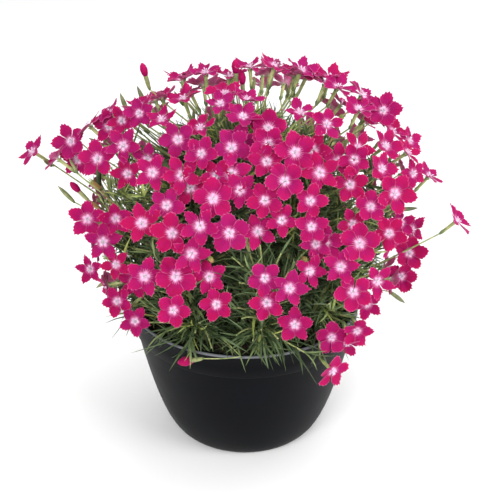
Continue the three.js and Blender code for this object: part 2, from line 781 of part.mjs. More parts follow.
// Everything that a leaf has to miss. A leaf's own clump counts only away from the leaf's root.
const rods = [];
for (const clump of clumps) {
  for (let k = 1; k < coreShape.length; k += 1) {
    const [[shareA, widthA], [shareB, widthB]] = [coreShape[k - 1], coreShape[k]];
    const line = [mix(clump.foot, clump.top, shareA), mix(clump.foot, clump.top, shareB)];
    rods.push({ clump: clump.index, line, radius: clump.core * Math.max(widthA, widthB), spare: 8 });
  }
  const load = carried[clump.index];
  const flowerStalks = load.members.map((one) => stalkRings(one, clump, 0));
  const budStalks = load.buds.map((one) => budRings(one, clump, 0));
  for (const rings of [...flowerStalks, ...budStalks]) {
    for (let k = 1; k < rings.length; k += 1) {
      const radius = Math.max(rings[k - 1].wide, rings[k].wide);
      rods.push({ clump: clump.index, line: [rings[k - 1].at, rings[k].at], radius, spare: 1 });
    }
  }
}

// Leaves are bent clear of flowers, stalks and one another, or left out.
const flowers = bunches.flatMap((group) => group.members);
const leaves = [];
for (const routes of [...rimChoices(clumps), ...clumps.flatMap(leafChoices)]) {
  const route = routes.find((way) => isClear(way, rods, flowers, leaves));
  if (route) {
    leaves.push(leafPoints(route));
    shoots[route.clump] = shoots[route.clump].add(leafSolid(route));
  }
}

const model = new THREE.Group();
model.add(meshOf(potSolid, 'pot', colours.pot, 0.45));
model.add(meshOf(soilSolid, 'soil', colours.soil, 0.95));
for (const [i, solid] of shoots.entries()) {
  model.add(meshOf(mainBody(solid), `shoots_${String(i + 1).padStart(2, '0')}`, colours.shoots, 0.7));
}
for (const [i, solid] of blooms.entries()) {
  model.add(meshOf(solid, `blooms_${String(i + 1).padStart(2, '0')}`, colours.blooms, 0.6));
}

export default model;
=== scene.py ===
import math
from functools import partial

import bmesh
import bpy
import numpy as np
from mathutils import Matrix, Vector


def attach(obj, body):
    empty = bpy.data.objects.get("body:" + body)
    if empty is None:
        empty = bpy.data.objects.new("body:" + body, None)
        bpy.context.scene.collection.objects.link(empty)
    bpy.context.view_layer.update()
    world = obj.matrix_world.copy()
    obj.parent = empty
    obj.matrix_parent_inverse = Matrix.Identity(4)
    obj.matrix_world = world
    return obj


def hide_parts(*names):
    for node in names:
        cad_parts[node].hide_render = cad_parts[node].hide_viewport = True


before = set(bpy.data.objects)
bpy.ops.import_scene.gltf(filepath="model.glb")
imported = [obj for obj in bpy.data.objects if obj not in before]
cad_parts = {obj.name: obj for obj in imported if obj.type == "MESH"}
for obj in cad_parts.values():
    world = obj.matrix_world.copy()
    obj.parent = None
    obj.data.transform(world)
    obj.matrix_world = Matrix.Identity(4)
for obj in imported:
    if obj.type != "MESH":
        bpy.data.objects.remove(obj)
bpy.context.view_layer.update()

# The plant's rule works in millimetres; meshes are in metres.

tau = 2 * math.pi
goldenTurn = math.pi * (3 - math.sqrt(5))
upright = np.array([0.0, 0.0, 1.0])


def draw(i, k):  # a repeatable draw between 0 and 1 for item i, use k
    s = math.sin(i * 127.1 + k * 311.7) * 43758.5453
    return s - math.floor(s)


def spread(i, k):
    return draw(i, k) * 2 - 1


def along(pair, share):  # the pair's first value, and that share of its second more
    return pair[0] + pair[1] * share


def drawn(pair, i, k):
    return along(pair, draw(i, k))


def point(x, y, z):
    return np.array([x, y, z], float)


def around(turn):  # a level direction, at a turn about the pot's middle
    return point(math.cos(turn), math.sin(turn), 0)


def unit(v):
    return v / max(math.sqrt(float(v @ v)), 1e-12)


def far(a, b):
    d = a - b
    return math.sqrt(float(d @ d))


def mix(a, b, t):
    return a + (b - a) * t


def clamp(x, low, high):
    return min(max(x, low), high)


def squareTo(axis, wish):  # a unit vector square to the axis, near the wish
    flat = wish - axis * float(wish @ axis)
    if float(flat @ flat) < 1e-8:
        flat = point(axis[2], axis[0], axis[1])
        flat = flat - axis * float(flat @ axis)
    return unit(flat)


def srgb(hexCode):
    parts = [int(hexCode[k:k + 2], 16) / 255 for k in (1, 3, 5)]
    return tuple(c / 12.92 if c <= 0.04045 else ((c + 0.055) / 1.055) ** 2.4 for c in parts) + (1.0,)


# Where the flowers are: the same rule as the solids'.

potSize = {"height": 112, "rimRadius": 90, "collarDepth": 20, "collarStep": 1.6, "wallUnderCollar": 86.5,
           "baseRadius": 54, "wall": 2.2, "floor": 3, "drainHole": 8, "drainCircle": 30, "drainHoles": 4}
soilSize = {"top": 103}
canopy = {"middle": 196, "radius": 124, "above": 95, "below": 135, "skirt": 104, "lowest": 88}
flower = {"petals": 5, "size": 13.6, "sizeSpread": 0.12, "rise": 0.17, "depth": 2.6, "eyeDip": 0.9,
          "notch": 0.6, "notchSpread": 0.05, "calyx": 15, "calyxTop": 1.9, "calyxFoot": 1.45, "gap": 0.35}
turning = {"fromOut": 0.75, "toStand": 0.9, "jitter": 0.2, "overPot": 4, "steepest": -0.85}
bunch = {"count": 40, "down": 1.55, "rounds": 6, "stagger": 6.5, "layers": 3, "near": 56, "tip": 0.95,
         "rim": 0.86, "innermost": 0.4, "sunk": 0.5, "offRim": 3}
clumpRings = [{"count": 1, "out": 0, "topOut": 0, "topHeight": 238},
              {"count": 4, "out": 30, "topOut": 56, "topHeight": 206},
              {"count": 9, "out": 60, "topOut": 83, "topHeight": 160}]
stalk = {"slope": 0.8, "lowest": 0.32, "highest": 0.93, "reachedFrom": 0.75, "radius": 0.55,
         "footTimes": 1.5, "sides": 6, "bowAt": 0.55, "bowBack": 0.12, "overPot": 3, "rimLift": 5,
         "rimAt": 0.4, "rimOn": 0.06}
stand = {"distance": 775, "elevation": 27, "aim": 152, "sheet": 1000, "searchFrom": 190, "searchStep": 0.5}

# Flowers of the near side: right and up, in mm on a sheet 1 m from the standing point, and how far each
# turns to that point.
nearFlowers = [
    # top of the head, seen from the side
    (-24, 143, 0.1), (17, 179, -0.1), (-88, 168, -0.1), (-60, 183, 0), (-42, 176, 0.1), (-61, 156, 0.1),
    (-20, 155, 0), (-17, 178, 0.1), (30, 173, -0.1), (38, 188, 0.1), (56, 184, 0), (75, 183, -0.1),
    (93, 178, 0.1), (73, 164, 0), (98, 154, 0), (117, 160, -0.1), (107, 137, 0.15), (143, 136, 0.2),
    (11, 155, -0.1), (51, 142, 0.15), (-1, 132, 0.15), (-45, 122, 0.15), (-77, 128, 0.15),
    # upper left
    (-108, 142, 0), (-108, 129, 1), (-121, 126, 1), (-147, 139, 0), (-157, 128, 0), (-139, 119, 1),
    (-166, 105, 1), (-170, 85, 1), (-183, 103, 0), (-144, 87, 1), (-120, 103, 1), (-100, 95, 1),
    (-121, 78, 1), (-85, 75, 1), (-62, 104, 1), (-48, 95, 1),
    # upper middle
    (-2, 113, 1), (109, 83, 1), (-66, 76, 1), (-38, 80, 1), (-47, 68, 1), (-22, 63, 1),
    (-17, 103, 1), (10, 113, 1), (20, 123, 1), (36, 101, 1), (49, 95, 1), (19, 88, 1),
    (36, 69, 1), (1, 56, 1), (23, 57, 1),
    # upper right
    (82, 122, 1), (133, 146, 0.7), (69, 103, 1), (93, 90, 1), (70, 75, 1), (117, 98, 0.5),
    (156, 92, 0.4), (136, 110, 0.5), (165, 108, 0.3), (152, 124, 0.3), (145, 57, 1), (127, 45, 1),
    (166, 62, 0.5), (133, 80, 0.5), (162, 76, 0.5), (107, 68, 1),
    # left
    (-131, 31, 1), (-152, 26, 1), (-143, 11, 1), (-132, -12, 1), (-158, -15, 1), (-97, -26, 1),
    (-114, -34, 1), (-126, -49, 1), (-108, -69, 1),
    # middle
    (-89, 36, 1), (-75, 41, 1), (59, -27, 0.5), (-50, 1, 0.5), (-32, 46, 1), (-43, 25, 1),
    (-70, 18, 1), (-26, 21, 0.5), (-69, -12, 1), (6, 20, 1), (31, 31, 1), (-34, -31, 1),
    (20, -29, 1), (28, -47, 1), (44, -37, 1), (-75, -58, 1), (-29, -67, 1), (50, -75, 1),
    # right
    (65, 47, 1), (63, 31, 1), (72, 5, 1), (90, 0, 1), (114, 3, 1), (116, 30, 1),
    (142, 18, 1), (173, -2, 1), (185, 14, 0.6), (97, -18, 1), (104, -34, 1), (126, -27, 1),
    (125, -50, 1), (160, -36, 1), (112, -75, 0.7), (103, -100, 0.6), (84, -92, 1), (157, 32, 0.8),
]
loneFlowers = [(-213, 99, 0.3, 0.3), (213, 30, 0.3, 0.9), (185, 75, 0.3, 1.1)]
budMarks = [(-102, 183), (-108, 164), (-125, 157), (-3, 175), (-10, 186), (-187, 64), (-172, 65),
            (173, 42), (-149, -38), (168, -39), (160, -53)]
flowerOverRim = {"place": (63, -92, 101), "way": (0.5, -0.86, -0.12), "bend": (53.9, -76.4, 115.2)}
budOverRim = {"place": (-45, -86, 105.5), "way": (-0.86, 0.3, -0.36), "bend": (-3, -93.5, 115)}
farRule = {"nearGap": 27.5, "farGap": 22.6, "points": 264, "index": 400, "down": 1.62, "heightDraw": 3,
           "turnDraw": 0.12, "outDraw": 2, "hiddenUnder": 0.12}
loneIndex = 300
budIndex = 340

lean = math.radians(stand["elevation"])
sight = point(0, math.cos(lean), -math.sin(lean))
sightUp = point(0, math.sin(lean), math.cos(lean))
standPoint = point(0, 0, stand["aim"]) - sight * stand["distance"]


def reachTo(level):  # of the canopy over its middle, or under it
    return canopy["above"] if level > 0 else canopy["below"]


def canopyRadius(height):
    share = min(abs(height - canopy["middle"]) / reachTo(height - canopy["middle"]), 1)
    wide = canopy["radius"] * math.sqrt(1 - share * share)
    return wide if height < canopy["lowest"] or height > canopy["middle"] else max(wide, canopy["skirt"])


def outward(place):
    reach = reachTo(place[2] - canopy["middle"])
    rise = ((place[2] - canopy["middle"]) / reach) * (canopy["radius"] / reach)
    return unit(point(place[0] / canopy["radius"], place[1] / canopy["radius"], rise))


def seenPlace(mark):
    line = unit(point(mark[0], 0, 0) + sight * stand["sheet"] + sightUp * mark[1])
    beside = -standPoint[1] / line[1]
    distance = beside - stand["searchFrom"]
    while distance < beside:
        place = standPoint + line * distance
        if math.hypot(place[0], place[1]) < canopyRadius(place[2]):
            return place
        distance += stand["searchStep"]
    return standPoint + line * beside


def makeFlower(place, turnToStand, index):
    out = outward(place)
    toStand = unit(standPoint - place)
    jitter = point(spread(index, 1), spread(index, 2), spread(index, 3)) * turning["jitter"]
    fromOut = 1 - turning["fromOut"] * turnToStand
    facing = unit(out * fromOut + toStand * (turning["toStand"] * turnToStand) + jitter)
    room = place[2] - potSize["height"] - turning["overPot"]
    steepest = max(room / (flower["depth"] + flower["calyx"]), turning["steepest"])
    if facing[2] > steepest:
        level = math.sqrt((1 - steepest * steepest) / (1 - facing[2] * facing[2]))
        facing = point(facing[0] * level, facing[1] * level, steepest)
    wish = point(spread(index, 5), spread(index, 9), spread(index, 10))
    return {"index": index, "place": place, "facing": facing, "ahead": squareTo(facing, wish),
            "size": flower["size"] * (1 + flower["sizeSpread"] * spread(index, 4)),
            "near": index < farRule["index"]}


def turnTo(one, way):
    one["facing"] = unit(way)
    one["ahead"] = squareTo(one["facing"], one["ahead"])
    return one


def laidOver(spot, index):
    one = turnTo(makeFlower(point(*spot["place"]), 0, index), point(*spot["way"]))
    one["bend"] = point(*spot["bend"])
    return one


def farFlowers(nearOnes):
    kept = []
    for i in range(farRule["points"]):
        level = 1 - farRule["down"] * ((i + 0.5) / farRule["points"])
        height = canopy["middle"] + reachTo(level) * level + farRule["heightDraw"] * spread(i, 11)
        turn = i * goldenTurn + farRule["turnDraw"] * spread(i, 12)
        radius = canopyRadius(height) + farRule["outDraw"] * spread(i, 13)
        place = around(turn) * radius + upright * height
        hidden = float(outward(place) @ unit(standPoint - place)) < farRule["hiddenUnder"]
        hasRoom = all(far(one["place"], place) > farRule["nearGap"] for one in nearOnes)
        if hidden and hasRoom and all(far(one["place"], place) > farRule["farGap"] for one in kept):
            kept.append(makeFlower(place, 0, farRule["index"] + i))
    return kept


def centreOf(members):
    return sum((one["place"] for one in members), point(0, 0, 0)) / len(members)


def gather(flowers):
    centres = []
    for i in range(bunch["count"]):
        level = 1 - bunch["down"] * ((i + 0.5) / bunch["count"])
        radius = canopy["radius"] * math.sqrt(1 - level * level)
        height = canopy["middle"] + reachTo(level) * level
        centres.append(around(i * goldenTurn) * radius + upright * height)
    groups = []
    for _ in range(bunch["rounds"]):
        groups = [[] for _ in centres]
        for one in flowers:
            distances = [far(centre, one["place"]) for centre in centres]
            groups[distances.index(min(distances))].append(one)
        groups = [group for group in groups if group]
        centres = [centreOf(group) for group in groups]
    return groups


def petalRise(one, distance):
    share = distance / one["size"]
    return flower["rise"] * one["size"] * share * share


def rimReach(one, direction):
    side = np.cross(one["facing"], one["ahead"])
    turn = math.atan2(float(direction @ side), float(direction @ one["ahead"])) % tau
    notch = (flower["notch"] + flower["notchSpread"] * spread(one["index"], 6)) * one["size"]
    corners = []
    for k in range(flower["petals"]):
        tipTurn = k / flower["petals"] * tau
        corners += [(tipTurn, one["size"]), (tipTurn + math.pi / flower["petals"], notch)]
    corners.append((tau, one["size"]))
    after = next(k for k, corner in enumerate(corners) if corner[0] >= turn)
    (turnA, reachA), (turnB, reachB) = corners[max(after - 1, 0)], corners[max(after, 1)]
    return reachA * reachB * math.sin(turnB - turnA) / (
        reachA * math.sin(turn - turnA) + reachB * math.sin(turnB - turn))


def tuckUnder(one, neighbour):
    across = neighbour["place"] - one["place"]
    one["ahead"] = squareTo(one["facing"], across)
    reach = bunch["tip"] * one["size"]
    tip = one["place"] + one["ahead"] * reach + one["facing"] * petalRise(one, reach)
    back = squareTo(neighbour["facing"], -across)
    apart = abs(float(across @ back))
    rim = rimReach(neighbour, back)
    inward = clamp(apart - reach, bunch["innermost"] * neighbour["size"], bunch["rim"] * rim)
    height = petalRise(neighbour, inward) - bunch["sunk"] * flower["depth"] * (1 - inward / rim)
    one["place"] = one["place"] + neighbour["place"] + back * inward + neighbour["facing"] * height - tip


def offRim(one):
    needed = potSize["rimRadius"] + bunch["offRim"] + one["size"] * abs(one["facing"][2])
    low = one["place"][2] - one["size"] < potSize["height"]
    return needed - math.hypot(one["place"][0], one["place"][1]) if low else 0


def shiftAll(members, shift):
    for one in members:
        one["place"] = one["place"] + shift


def settle(groups):
    settled = []
    for members in groups:
        centre = centreOf(members)
        beside = [other for other in settled if far(other["centre"], centre) < bunch["near"]]
        load = [sum(other["layer"] == layer for other in beside) for layer in range(bunch["layers"])]
        layer = load.index(min(load))
        members.sort(key=lambda one: far(one["place"], centre))
        for one in members:
            way = unit(standPoint - one["place"]) if one["near"] else outward(one["place"])
            low = one["place"][2] < potSize["height"] + flower["size"]
            one["place"] = one["place"] + way * (max(layer - 1, 0 if low else -1) * bunch["stagger"])
        before = centreOf(members)
        for rank, one in enumerate(members[1:], 1):
            gaps = [far(other["place"], one["place"]) for other in members[:rank]]
            tuckUnder(one, members[gaps.index(min(gaps))])
        shiftAll(members, before - centreOf(members))
        away = unit(point(centre[0], centre[1], 0))
        shiftAll(members, away * max([0] + [offRim(one) for one in members]))
        settled.append({"members": members, "centre": centre, "layer": layer})
    return settled


def makeClumps():
    clumps = []
    for ringIndex, ring in enumerate(clumpRings):
        for i in range(ring["count"]):
            way = around((i + 0.5 * ringIndex) / ring["count"] * tau)
            clumps.append({"foot": way * ring["out"] + upright * soilSize["top"],
                           "top": way * ring["topOut"] + upright * ring["topHeight"],
                           "index": len(clumps), "flowers": [], "buds": []})
    return clumps


def nearestClump(place, clumps):
    distances = [far(mix(one["foot"], one["top"], stalk["reachedFrom"]), place) for one in clumps]
    return clumps[distances.index(min(distances))]


def stalkFoot(one, clump):
    offset = math.hypot(one["place"][0] - clump["top"][0], one["place"][1] - clump["top"][1])
    rise = one["place"][2] - stalk["slope"] * offset - clump["foot"][2]
    share = rise / (clump["top"][2] - clump["foot"][2])
    return mix(clump["foot"], clump["top"], clamp(share, stalk["lowest"], stalk["highest"]))


nearOnes = [makeFlower(seenPlace(mark), mark[2], i) for i, mark in enumerate(nearFlowers)]
loneOnes = [makeFlower(seenPlace(mark), mark[2], loneIndex + i) for i, mark in enumerate(loneFlowers)]
for one, mark in zip(loneOnes, loneFlowers):
    turnTo(one, one["facing"] + upright * mark[3])
loneOnes.append(laidOver(flowerOverRim, loneIndex + len(loneOnes)))
bunches = settle(gather(nearOnes + farFlowers(nearOnes + loneOnes)))
bunches += [{"members": [one], "centre": one["place"]} for one in loneOnes]
buds = [makeFlower(seenPlace(mark), 0, budIndex + i) for i, mark in enumerate(budMarks)]
for one in buds:
    if one["place"][2] > canopy["middle"]:
        one["facing"] = unit(one["facing"] + upright)
buds.append(laidOver(budOverRim, budIndex + len(buds)))
clumps = makeClumps()
for group in bunches:
    nearestClump(group["centre"], clumps)["flowers"] += group["members"]
for one in buds:
    nearestClump(one["place"], clumps)["buds"].append(one)
print("flowers:", sum(len(group["members"]) for group in bunches), "in", len(bunches), "bunches")

# Meshes are gathered in batches: points, faces by finish, and for each point its place on the
# pattern, a shade and how near it is to a petal's rim, where its face gets a painted highlight.


def newBatch():
    return {"points": [], "faces": [], "finishes": [], "marks": [], "shades": [], "rimHighlights": [], "count": 0}


# rim: how much of the petal's painted rim highlight a point takes
def addPart(batch, points, facesByFinish, marks, shade, rim=0.0):
    batch["points"].append(points)
    batch["marks"].append(marks)
    batch["shades"].append(np.broadcast_to(shade, len(points)))
    batch["rimHighlights"].append(np.broadcast_to(rim, len(points)))
    for finish, faces in facesByFinish:
        batch["faces"].append(faces + batch["count"])
        batch["finishes"].append(np.full(len(faces), finish, np.int32))
    batch["count"] += len(points)


def gridFaces(rows, columns, closed):  # quads over rows of points; round rows close on themselves
    k = np.arange(columns if closed else columns - 1)
    r = np.arange(rows - 1)[:, None] * columns
    a, b = r + k, r + (k + 1) % columns
    return np.stack([a, b, b + columns, a + columns], -1).reshape(-1, 4)


plantSharpAbove = 80  # degrees between faces


def objectFrom(name, batch, materials, replaced):
    mesh = bpy.data.meshes.new(name)
    points = np.concatenate(batch["points"]) / 1000
    corners = np.concatenate([some.ravel() for some in batch["faces"]]).astype(np.int32)
    sizes = np.concatenate([np.full(len(some), some.shape[1], np.int32) for some in batch["faces"]])
    starts = np.concatenate([[0], np.cumsum(sizes)[:-1]]).astype(np.int32)
    mesh.vertices.add(len(points))
    mesh.vertices.foreach_set("co", points.astype(np.float32).ravel())
    mesh.loops.add(len(corners))
    mesh.loops.foreach_set("vertex_index", corners)
    mesh.polygons.add(len(sizes))
    mesh.polygons.foreach_set("loop_start", starts)
    mesh.polygons.foreach_set("material_index", np.concatenate(batch["finishes"]))
    mesh.polygons.foreach_set("use_smooth", np.ones(len(sizes), bool))
    mesh.update(calc_edges=True)
    layer = mesh.uv_layers.new(name="patternMap")
    marks = np.concatenate(batch["marks"])[corners]
    layer.data.foreach_set("uv", marks.astype(np.float32).ravel())
    for attribute, key in (("shade", "shades"), ("rim", "rimHighlights")):
        values = mesh.attributes.new(attribute, "FLOAT", "POINT")
        values.data.foreach_set("value", np.concatenate(batch[key]).astype(np.float32))
    mesh.set_sharp_from_angle(angle=math.radians(plantSharpAbove))
    for material in materials:
        mesh.materials.append(material)
    piece = bpy.data.objects.new(name, mesh)
    bpy.context.scene.collection.objects.link(piece)
    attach(piece, "root")
    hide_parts(*replaced)
    return piece


def axesAlong(centres, wish):  # for each place of a line, two directions square to the line
    across, over = [], []
    aside = wish
    for step in np.gradient(centres, axis=0):
        tangent = unit(step)
        aside = squareTo(tangent, aside)
        across.append(aside)
        over.append(np.cross(tangent, aside))
    return np.array(across)[:, None], np.array(over)[:, None]


# A closed rod along a line of places; it ends in a flat fan at its foot and its head.
def addRod(batch, centres, radii, sides, shade, finish, patternFoot=0.0):
    centres = np.array(centres)
    rows = len(centres)
    across, over = axesAlong(centres, point(0.3, 0.2, 1))
    k = np.arange(sides)
    turn = k / sides * tau
    ring = across * np.cos(turn)[:, None] + over * np.sin(turn)[:, None]
    body = centres[:, None] + ring * np.broadcast_to(radii, rows)[:, None, None]
    points = np.concatenate([body.reshape(-1, 3), centres[[0, -1]]])
    after = (k + 1) % sides
    last = (rows - 1) * sides
    foot = np.stack([np.full(sides, rows * sides), after, k], -1)
    head = np.stack([np.full(sides, rows * sides + 1), last + k, last + after], -1)
    marks = np.stack([np.tile(k / sides, rows), np.repeat(np.linspace(patternFoot, 1, rows), sides)], -1)
    marks = np.concatenate([marks, [[0.5, patternFoot], [0.5, 1]]])
    faces = [(finish, some) for some in (gridFaces(rows, sides, True), foot, head)]
    addPart(batch, points, faces, marks, shade)


def bezier(a, b, c, count):
    t = np.linspace(0, 1, count)[:, None]
    return a * (1 - t) ** 2 + b * 2 * t * (1 - t) + c * t * t


# Sets a node's inputs, in their order or by their keys, to values or to links from other nodes.
def setInputs(tree, node, inputs):
    for key, value in inputs.items() if isinstance(inputs, dict) else enumerate(inputs):
        if isinstance(value, bpy.types.NodeSocket):
            tree.links.new(value, node.inputs[key])
        else:
            node.inputs[key].default_value = value


def setStops(ramp, stops):
    while len(ramp.elements) < len(stops):
        ramp.elements.new(0.5)
    for element, (place, colour) in zip(ramp.elements, stops):
        element.position = place
        element.color = srgb(colour)


# Adds a node with its settings and its inputs, and gives one of its outputs.
def addNode(tree, kind, inputs=(), output=0, stops=(), **settings):
    node = tree.nodes.new("ShaderNode" + kind)
    for name, value in settings.items():
        setattr(node, name, value)
    if stops:
        setStops(node.color_ramp, stops)
    setInputs(tree, node, inputs)
    return node.outputs[output]


def makeMaterial(name, skin):  # a skin adds its nodes and gives the shader's inputs
    material = bpy.data.materials.new(name)
    material.use_nodes = True
    tree = material.node_tree
    setInputs(tree, tree.nodes["Principled BSDF"], skin(partial(addNode, tree)))
    return material


def patternPlace(add):  # across the pattern and along it
    return add("SeparateXYZ", (add("UVMap", uv_map="patternMap"),)).node.outputs[:2]


def shadeOf(add):
    return add("Attribute", attribute_name="shade", output="Fac")


def mottled(add, perMetre, strength, detail=3.0):  # cloudy noise about 0, with so many grains in a metre
    place = add("TexCoord", output="Object")
    noise = add("TexNoise", {"Vector": place, "Scale": perMetre, "Detail": detail}, "Fac")
    return add("MapRange", (noise, 0.25, 0.75, -strength, strength))


def offMiddle(add, across):
    return add("Math", (add("Math", (across, 0.5), operation="SUBTRACT"),), operation="ABSOLUTE")


def veins(add, across, count):  # waves across the pattern, one for each vein
    return add("Math", (add("Math", (across, count * tau), operation="MULTIPLY"),), operation="SINE")


def layered(add, colour, layers):  # each layer is its share of the surface and its colour
    for share, over in layers:
        colour = add("Mix", {0: share, 6: colour, 7: srgb(over)}, 2, data_type="RGBA")
    return colour


# Dianthus petal, upper face: velvety cells give a soft lilac sheen, and fine veins ray out of a pale eye.
# A layer is its colour, what it follows, from where to where and how strong it is there, and on what.
petalLook = {
    "fromEye": [(0.0, "#E6D8E6"), (0.06, "#F4ECF2"), (0.14, "#F7E4EF"), (0.2, "#DC86B4"), (0.25, "#93105D"),
                (0.55, "#9B0B55"), (1.0, "#AB0D57")],
    "layers": [("#E9AECB", "out", (0.38, 0.2, 0.0, 1.0), "veins"),
               ("#A98DBB", "out", (0.27, 0.09, 0.0, -1.0), "veins"),
               ("#6E0436", "out", (0.3, 0.5, 0.0, 0.14), "veins"),
               ("#A00845", "tone", (0.45, 0.0, 0.0, 0.75), "blade"),
               ("#8E1560", "tone", (0.6, 1.15, 0.0, 0.55), "blade"),
               # the pale rim layer is a painted highlight along the thin petal edge
               ("#E083AE", "rim", (0.5, 1.0, 0.0, 0.5), "all")],
    "star": (-0.02, 0.06), "starVeins": 0.04, "bladeFrom": (0.22, 0.36), "veinCount": 5,
    "veinDepth": 0.00012, "veinStrength": 0.35, "speck": (420.0, 0.04), "cloud": (150.0, 0.4, 4.0),
    "roughness": 0.65, "specular": 0.08, "sheen": 0.13, "sheenRoughness": 0.25, "sheenTint": "#E7A3DC",
}
petalGlow = {"Subsurface Weight": 0.35, "Subsurface Scale": 0.0008, "Subsurface Radius": (1.0, 0.4, 0.7)}


def petalFaceSkin(add):
    look = petalLook
    across, out = patternPlace(add)
    wave = veins(add, across, look["veinCount"])
    star = add("MapRange", (offMiddle(add, across), 0.0, 0.5, *look["star"]))
    rayed = add("Math", (wave, look["starVeins"]), operation="MULTIPLY")
    for part in (rayed, mottled(add, *look["speck"]), out):
        star = add("Math", (star, part), operation="ADD")
    colour = add("ValToRGB", (star,), stops=look["fromEye"])
    tone = add("Math", (shadeOf(add), mottled(add, *look["cloud"])), operation="ADD")
    guides = {"out": out, "tone": tone, "rim": add("Attribute", attribute_name="rim", output="Fac")}
    places = {"veins": wave, "blade": add("MapRange", (out, *look["bladeFrom"])), "all": 1.0}
    layers = []
    for over, guide, reach, place in look["layers"]:
        share = add("MapRange", (guides[guide], *reach))
        layers.append((add("Math", (share, places[place]), operation="MULTIPLY", use_clamp=True), over))
    bump = add("Bump", {"Height": wave, "Strength": look["veinStrength"], "Distance": look["veinDepth"]})
    return petalGlow | {"Base Color": layered(add, colour, layers), "Normal": bump,
                        "Roughness": look["roughness"], "Specular IOR Level": look["specular"],
                        "Sheen Weight": look["sheen"], "Sheen Roughness": look["sheenRoughness"],
                        "Sheen Tint": srgb(look["sheenTint"])}


# Dianthus petal, underside: matt and dusty, paler than the face, greenish white at the claw.
petalBackLook = {"fromClaw": [(0.05, "#D5DBB4"), (0.2, "#DDA3BF"), (0.45, "#C2588C"), (1.0, "#C9689A")],
                 "cloud": (300.0, 0.1), "veinStrength": 0.4, "roughness": 0.75, "specular": 0.15}


def petalBackSkin(add):
    look = petalBackLook
    across, out = patternPlace(add)
    place = add("Math", (out, mottled(add, *look["cloud"])), operation="ADD")
    wave = veins(add, across, petalLook["veinCount"])
    bump = add("Bump", {"Height": wave, "Strength": look["veinStrength"],
                        "Distance": petalLook["veinDepth"]})
    return petalGlow | {"Base Color": add("ValToRGB", (place,), stops=look["fromClaw"]), "Normal": bump,
                        "Roughness": look["roughness"], "Specular IOR Level": look["specular"]}


# Anthers and styles: waxy white threads, and powdery lilac pollen at their heads.
antherLook = {"fromFoot": [(0.35, "#F8EEF4"), (0.65, "#E4D3E6"), (1.0, "#BDA9CC")], "powder": (900.0, 0.08),
              "roughness": 0.8}


def antherSkin(add):
    place = add("Math", (patternPlace(add)[1], mottled(add, *antherLook["powder"])), operation="ADD")
    colour = add("ValToRGB", (place,), stops=antherLook["fromFoot"])
    return {"Base Color": colour, "Roughness": antherLook["roughness"]}


# Dianthus leaf: a waxy bloom greys the green; shade 0 is old and deep in the plant, 1 is a fresh tip.
# Darker leaves deep in the plant are partly old, partly painted shade; lighter leaves high up are painted
# light.
leafLook = {
    "byAge": [(0.0, "#232F1E"), (0.24, "#3D4F31"), (0.48, "#61754C"), (0.68, "#86985F"), (0.8, "#A9B65E"),
              (1.0, "#B79C62")],
    "freshest": 0.8, "cloud": (180.0, 0.1, 4.0), "rib": "#A3B07E", "ribWidth": 0.1, "ribShare": 0.4,
    "veinCount": 5, "veinDepth": 0.0001, "veinStrength": 0.3, "roughness": 0.46, "wax": (90.0, 0.12),
    "specular": 0.3,
}


def leafSkin(add):
    look = leafLook
    across = patternPlace(add)[0]
    age = add("MapRange", (shadeOf(add), 0.0, 1.0, 0.0, look["freshest"]))
    age = add("Math", (age, mottled(add, *look["cloud"])), operation="ADD")
    green = add("ValToRGB", (age,), stops=look["byAge"])
    rib = add("MapRange", (offMiddle(add, across), look["ribWidth"], 0.0, 0.0, look["ribShare"]))
    rough = add("Math", (mottled(add, *look["wax"]), look["roughness"]), operation="ADD")
    bump = add("Bump", {"Height": veins(add, across, look["veinCount"]), "Strength": look["veinStrength"],
                        "Distance": look["veinDepth"]})
    return {"Base Color": layered(add, green, [(rib, look["rib"])]), "Roughness": rough, "Normal": bump,
            "Specular IOR Level": look["specular"]}


# Stalk and calyx tube: smooth ribbed green skin; where shade is above 1 it has dried to straw, and where
# it is below 0, on the buds, it darkens towards the tip.
stalkLook = {"patches": [(0.1, "#748650"), (0.5, "#9EA96A"), (0.9, "#C8C68E")], "patch": (200.0, 0.5),
             "bud": "#4E4A3E", "budDarkens": (0.1, 0.9, 0.45, 0.95), "straw": "#A98A56",
             "strawFrom": (1.2, 1.6), "ribCount": 10, "ribDepth": 0.0001, "ribStrength": 0.3,
             "roughness": 0.5, "specular": 0.35}


def stalkSkin(add):
    look = stalkLook
    across, along = patternPlace(add)
    patchy = add("Math", (mottled(add, *look["patch"]), 0.5), operation="ADD")
    green = add("ValToRGB", (patchy,), stops=look["patches"])
    shade = shadeOf(add)
    dusk = add("Math", (add("MapRange", (shade, 0.0, -1.0)), add("MapRange", (along, *look["budDarkens"]))),
               operation="MULTIPLY")
    dried = add("MapRange", (shade, *look["strawFrom"]))
    bump = add("Bump", {"Height": veins(add, across, look["ribCount"]), "Strength": look["ribStrength"],
                        "Distance": look["ribDepth"]})
    colour = layered(add, green, [(dusk, look["bud"]), (dried, look["straw"])])
    return {"Base Color": colour, "Normal": bump, "Roughness": look["roughness"],
            "Specular IOR Level": look["specular"]}


# Polypropylene, injection moulded, black: satin skin with a faint orange peel, dulled by dust. Its lip
# carries a painted highlight: a pale band measured in mm in from the rim and down from the top.
potLook = {"dusty": [(0.2, "#030407"), (0.9, "#06080D")], "dust": (22.0, 0.5, 6.0), "dustLevel": 0.4,
           "lip": "#83858A", "highlightIn": (2.0, 1.2), "highlightDown": (1.5, 0.7), "highlightShare": 0.8,
           "roughness": (0.37, 0.54), "specular": 0.07, "peelPerMetre": 900.0, "peelDepth": 0.00008,
           "peelStrength": 0.4}


